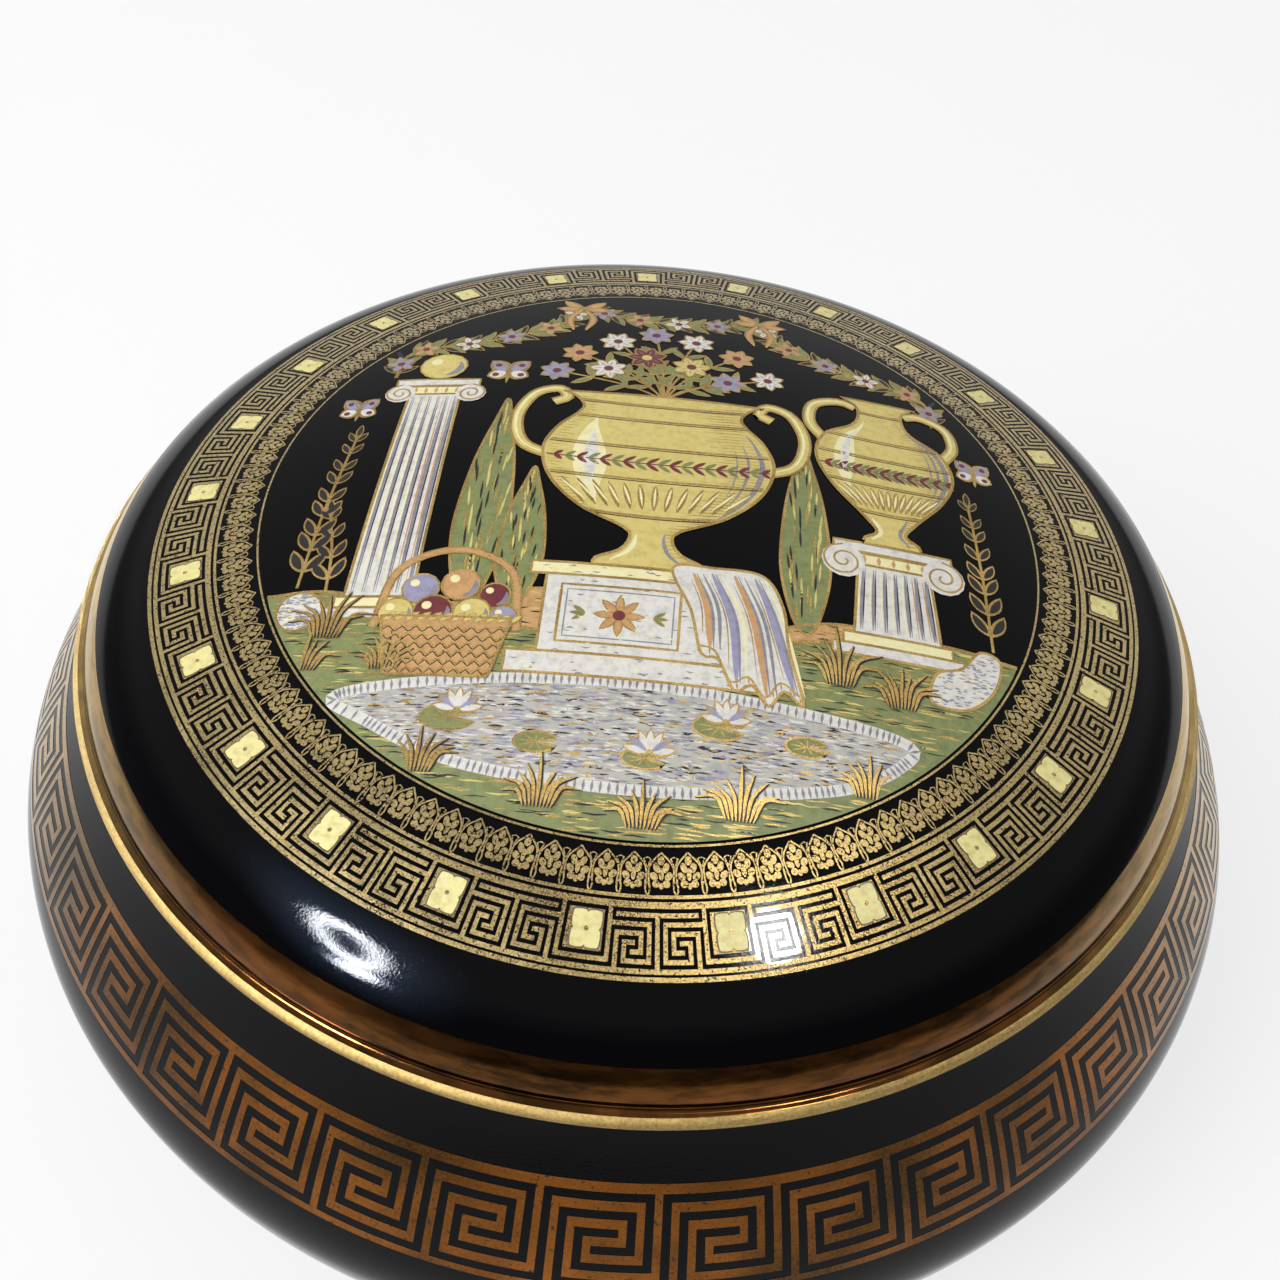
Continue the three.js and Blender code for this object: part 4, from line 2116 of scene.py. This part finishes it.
    def butterfly(self, canvas: Canvas, place: Point, size: float) -> None:
        """Paints a butterfly.

        Args:
            canvas: Where it is painted.
            place: Its middle.
            size: Length of a wing.
        """
        for side in (-1, 1):
            for turn, reach, paint in ((42, 1.0, Paint.LILAC), (112, 0.78, Paint.WHITE)):
                way = 90 - side * turn
                canvas.leaf(place, way, reach * size, 0.72 * size, paint)
                canvas.disc(toward(place, way, 0.6 * reach * size), 0.12 * size, Paint.RED, 3)
            canvas.brush([place, toward(place, 90 - side * 24, 0.8 * size)], 0.16, Paint.GOLD, 2)
        canvas.brush([toward(place, -90, 0.7 * size), toward(place, 90, 0.35 * size)], 0.5, Paint.GOLD, 3)

    def build(self) -> None:
        """Paints the picture from back to front."""
        canvas = Canvas(self.skin, self.radius)
        self.ground(canvas)
        trees = ((-17.0, -17.4, 31.0, 2.7, 1), (-12.6, -17.2, 19.0, 2.3, 2), (15.4, -17.2, 27.0, 2.5, 1))
        for x, y, height, half, level in trees:
            self.cypress(canvas.at(level), (x, y), height, half)
        sprigs = ((-33.6, -15.4, 22.0, 3), (34.0, -15.2, 20.0, -2), (-30.6, -16.4, 11.0, -10))
        for x, y, height, lean in sprigs:
            self.sprig(canvas.at(1), (x, y), height, lean)
        Pillar(-25.4, -19.2, 17.4, 3.3).draw(canvas, 2)
        Pillar(24.4, -18.6, -4.2, 4.3, 7).draw(canvas, 2)
        self.amphora.draw(canvas, 5)
        self.plinth(canvas)
        self.bouquet(canvas)
        self.krater.draw(canvas, 5)
        self.cloth(canvas)
        for knots in self.rocks:
            self.rock(canvas, knots)
        self.water(canvas)
        self.basket(canvas)
        canvas.at(5).ball((-25.4, 20.2), 2.8, Paint.OCHRE)
        for x, y, size in self.tufts:
            self.tuft(canvas.at(8), (x, y), size)
        for side in (-1, 1):
            hang = ((30.6, 18.0), (29.6, 23.6), (21.4, 26.0), (13.6, 30.2), (10.8, 35.4))
            self.garland(canvas, [(side * x, y) for x, y in hang])
            self.bow(canvas, (side * 10.8, 35.4))
        self.garland(canvas, [(-10.8, 35.4), (-5.6, 33.4), (0.0, 32.8), (5.6, 33.4), (10.8, 35.4)])
        for x, y, size in ((-17.8, 19.0, 3.3), (34.6, 10.6, 2.9), (-33.4, 11.6, 2.9)):
            self.butterfly(canvas.at(1), (x, y), size)
        canvas.build()


@dataclass(frozen=True)
class Softbox:
    """Soft studio lamp that points at the box. It either fills the shadows or shows in the gloss."""

    name: str
    azimuth: float
    elevation: float
    distance: float
    size: Point
    power: float
    fills: bool = False
    roll: float = 0.0

    def dress(self, lamp: bpy.types.AreaLight) -> None:
        """Leaves the lamp evenly bright."""

    def build(self, target: Vector) -> None:
        """Places the lamp.

        Args:
            target: Point that it lights, in metres.
        """
        lamp = bpy.data.lights.new(self.name, "AREA")
        lamp.shape = "ELLIPSE"
        lamp.size, lamp.size_y = self.size
        lamp.energy = self.power
        self.dress(lamp)
        turn, rise = math.radians(self.azimuth), math.radians(self.elevation)
        way = Vector((math.sin(turn) * math.cos(rise), math.cos(turn) * math.cos(rise), math.sin(rise)))
        placed = bpy.data.objects.new(self.name, lamp)
        placed.location = target + way * self.distance
        placed.visible_diffuse = self.fills
        placed.visible_glossy = not self.fills
        facing = way.to_track_quat("Z", "Y") @ Quaternion((0.0, 0.0, 1.0), math.radians(self.roll))
        placed.rotation_euler = facing.to_euler()
        bpy.context.scene.collection.objects.link(placed)


@dataclass(frozen=True)
class WindowLamp(Softbox):
    """Soft lamp with a bright ring and a bright patch beside it, in a faint blue glow.

    Lengths on its face are in ring widths, and ring_share is one of them as a share of the face.
    """

    ring_share: float = 0.131
    ring_radius: float = 0.85
    ring_edge: Point = (0.04, 0.24)
    patch_place: Point = (-0.2, -1.36)
    patch_stretch: float = 0.4
    patch_edge: Point = (0.16, 0.36)
    core_strength: float = 62
    glow_strength: float = 1.2
    glow_colour: Colour = (0.36, 0.56, 1.0)

    def dress(self, lamp: bpy.types.AreaLight) -> None:
        """Shapes the lamp's brightness over its face.

        Args:
            lamp: The lamp.
        """
        lamp.shape = "RECTANGLE"
        lamp.use_nodes = True
        shader = Shader(lamp.node_tree)
        face = shader.node("ShaderNodeNewGeometry", {}, {}, "Parametric")
        across, up = (
            (shader.node("ShaderNodeSeparateXYZ", {}, {"Vector": face}, axis) - 0.5) / self.ring_share
            for axis in "XY"
        )
        reach = shader.length(across, up)
        ring = 1 - shader.length(reach - self.ring_radius, 0.0).step(*self.ring_edge)
        aside, above = across - self.patch_place[0], up - self.patch_place[1]
        patch = 1 - shader.length(aside * self.patch_stretch, above).step(*self.patch_edge)
        core = ring.larger(patch)
        glow = (1 - reach.step(0.0, 0.5 / self.ring_share)) * self.glow_strength
        inputs = {
            "Color": shader.blend(core, self.glow_colour, (1.0, 1.0, 1.0)),
            "Strength": core * self.core_strength + glow,
        }
        shader.finish(shader.node("ShaderNodeEmission", {}, inputs), "ShaderNodeOutputLight")


@dataclass
class Studio:
    """Pale floor, soft lamps, grey surroundings and the photograph's camera."""

    target_height: float = 54.8
    camera_distance: float = 136.908
    camera_elevation: float = 43.816
    camera_turn: float = -0.0893
    camera_dip: float = 4.6294
    camera_roll: float = -5.3387
    floor_size: float = 12.0
    floor_tones: tuple[Colour, Colour] = (tone(250, 250, 250), tone(247, 247, 247))
    floor_glow: float = 0.72
    sky_tones: tuple[Colour, Colour] = ((0.2, 0.2, 0.2), (0.64, 0.64, 0.64))
    sky_edge: Point = (0.3, 0.62)
    sky_lean: float = 0.4
    lamps: tuple[Softbox, ...] = (
        Softbox("window_fill", -122, 38, 0.85, (0.45, 0.75), 5.5, True),
        WindowLamp("window", -127.7, 44.1, 0.886, (0.62, 1.12), 9.2, roll=37.5),
        Softbox("lamp_above", 99.1, 74.2, 0.905, (0.085, 0.085), 1.9),
    )

    def camera(self) -> None:
        """Places the camera as the rings of the lid show it in the photograph."""
        rise = math.radians(self.camera_elevation)
        dip = rise + math.radians(self.camera_dip)
        turn, roll = math.radians(self.camera_turn), math.radians(self.camera_roll)
        forward = Vector((math.sin(turn) * math.cos(dip), math.cos(turn) * math.cos(dip), -math.sin(dip)))
        level = Vector((math.cos(turn), -math.sin(turn), 0.0))
        down = forward.cross(level)
        right = level * math.cos(roll) + down * math.sin(roll)
        up = level * math.sin(roll) - down * math.cos(roll)
        lens = bpy.data.cameras.new("photograph")
        lens.sensor_width = 36.0
        lens.lens = 36.0
        lens.clip_start = 0.005
        lens.clip_end = 50.0
        placed = bpy.data.objects.new("photograph", lens)
        away = Vector((0.0, -math.cos(rise), math.sin(rise))) * self.camera_distance
        spot = (away + Vector((0.0, 0.0, self.target_height))) * MM
        turned_axes = Matrix((right, up, -forward)).transposed().to_4x4()
        placed.matrix_world = Matrix.Translation(spot) @ turned_axes
        bpy.context.scene.collection.objects.link(placed)
        bpy.context.scene.camera = placed

    def shown(self, shader: Shader) -> Socket:
        """Tells the rays that show the background from those that light the object.

        Args:
            shader: The tree that asks.

        Returns:
            1 for camera, glossy and transmission rays.
        """
        rays = [
            shader.node("ShaderNodeLightPath", {}, {}, name)
            for name in ("Is Camera Ray", "Is Glossy Ray", "Is Transmission Ray")
        ]
        return rays[0].larger(rays[1]).larger(rays[2])

    def floor(self) -> None:
        """Lays the pale floor, which keeps the object's shadow."""
        half = self.floor_size / 2
        mesh = bpy.data.meshes.new("floor")
        corners = [(x, y, 0.0) for x, y in block(0.0, half, -half, half)]
        mesh.from_pydata(corners, [], [(0, 1, 2, 3)])
        made, shader = material("floor")
        grain = shader.noise(30.0, 3.0)
        matt = shader.surface(
            {
                "Base Color": shader.blend(grain, *self.floor_tones),
                "Roughness": 0.9,
                "Specular IOR Level": 0.1,
            }
        )
        glow = shader.node("ShaderNodeEmission", {}, {"Strength": 1.0})
        layers = {0: self.shown(shader) * self.floor_glow, 1: matt, 2: glow}
        shader.finish(shader.node("ShaderNodeMixShader", {}, layers))
        mesh.materials.append(made)
        placed = bpy.data.objects.new("floor", mesh)
        bpy.context.scene.collection.objects.link(placed)

    def surroundings(self) -> None:
        """Makes the world: soft light from above and behind, dimmer low down in front."""
        world = bpy.data.worlds.new("studio")
        world.use_nodes = True
        bpy.context.scene.world = world
        shader = Shader(world.node_tree)
        way = shader.node("ShaderNodeTexCoord", {}, {}, "Generated")
        along = shader.node("ShaderNodeSeparateXYZ", {}, {"Vector": way}, "Y")
        height = shader.node("ShaderNodeSeparateXYZ", {}, {"Vector": way}, "Z")
        share = (height + along * self.sky_lean).step(*self.sky_edge)
        colour = shader.blend(share, *self.sky_tones)
        glow = shader.node("ShaderNodeBackground", {}, {"Color": colour, "Strength": 1.0})
        shader.finish(glow, "ShaderNodeOutputWorld")

    def build(self) -> None:
        """Builds the studio."""
        bpy.context.scene.view_settings.view_transform = "Standard"
        self.camera()
        self.floor()
        self.surroundings()
        for lamp in self.lamps:
            lamp.build(Vector((0.0, 0.0, self.target_height * MM)))


def main() -> None:
    """Builds the box and the studio in order."""
    logging.basicConfig(level=logging.INFO, format="%(name)s: %(message)s")
    Bowl.from_frame().build()
    lid = Lid.from_frame()
    lid.build()
    LidBands(lid.skin()).build()
    Picture(lid.skin()).build()
    Studio().build()


if __name__ == "__main__":
    main()
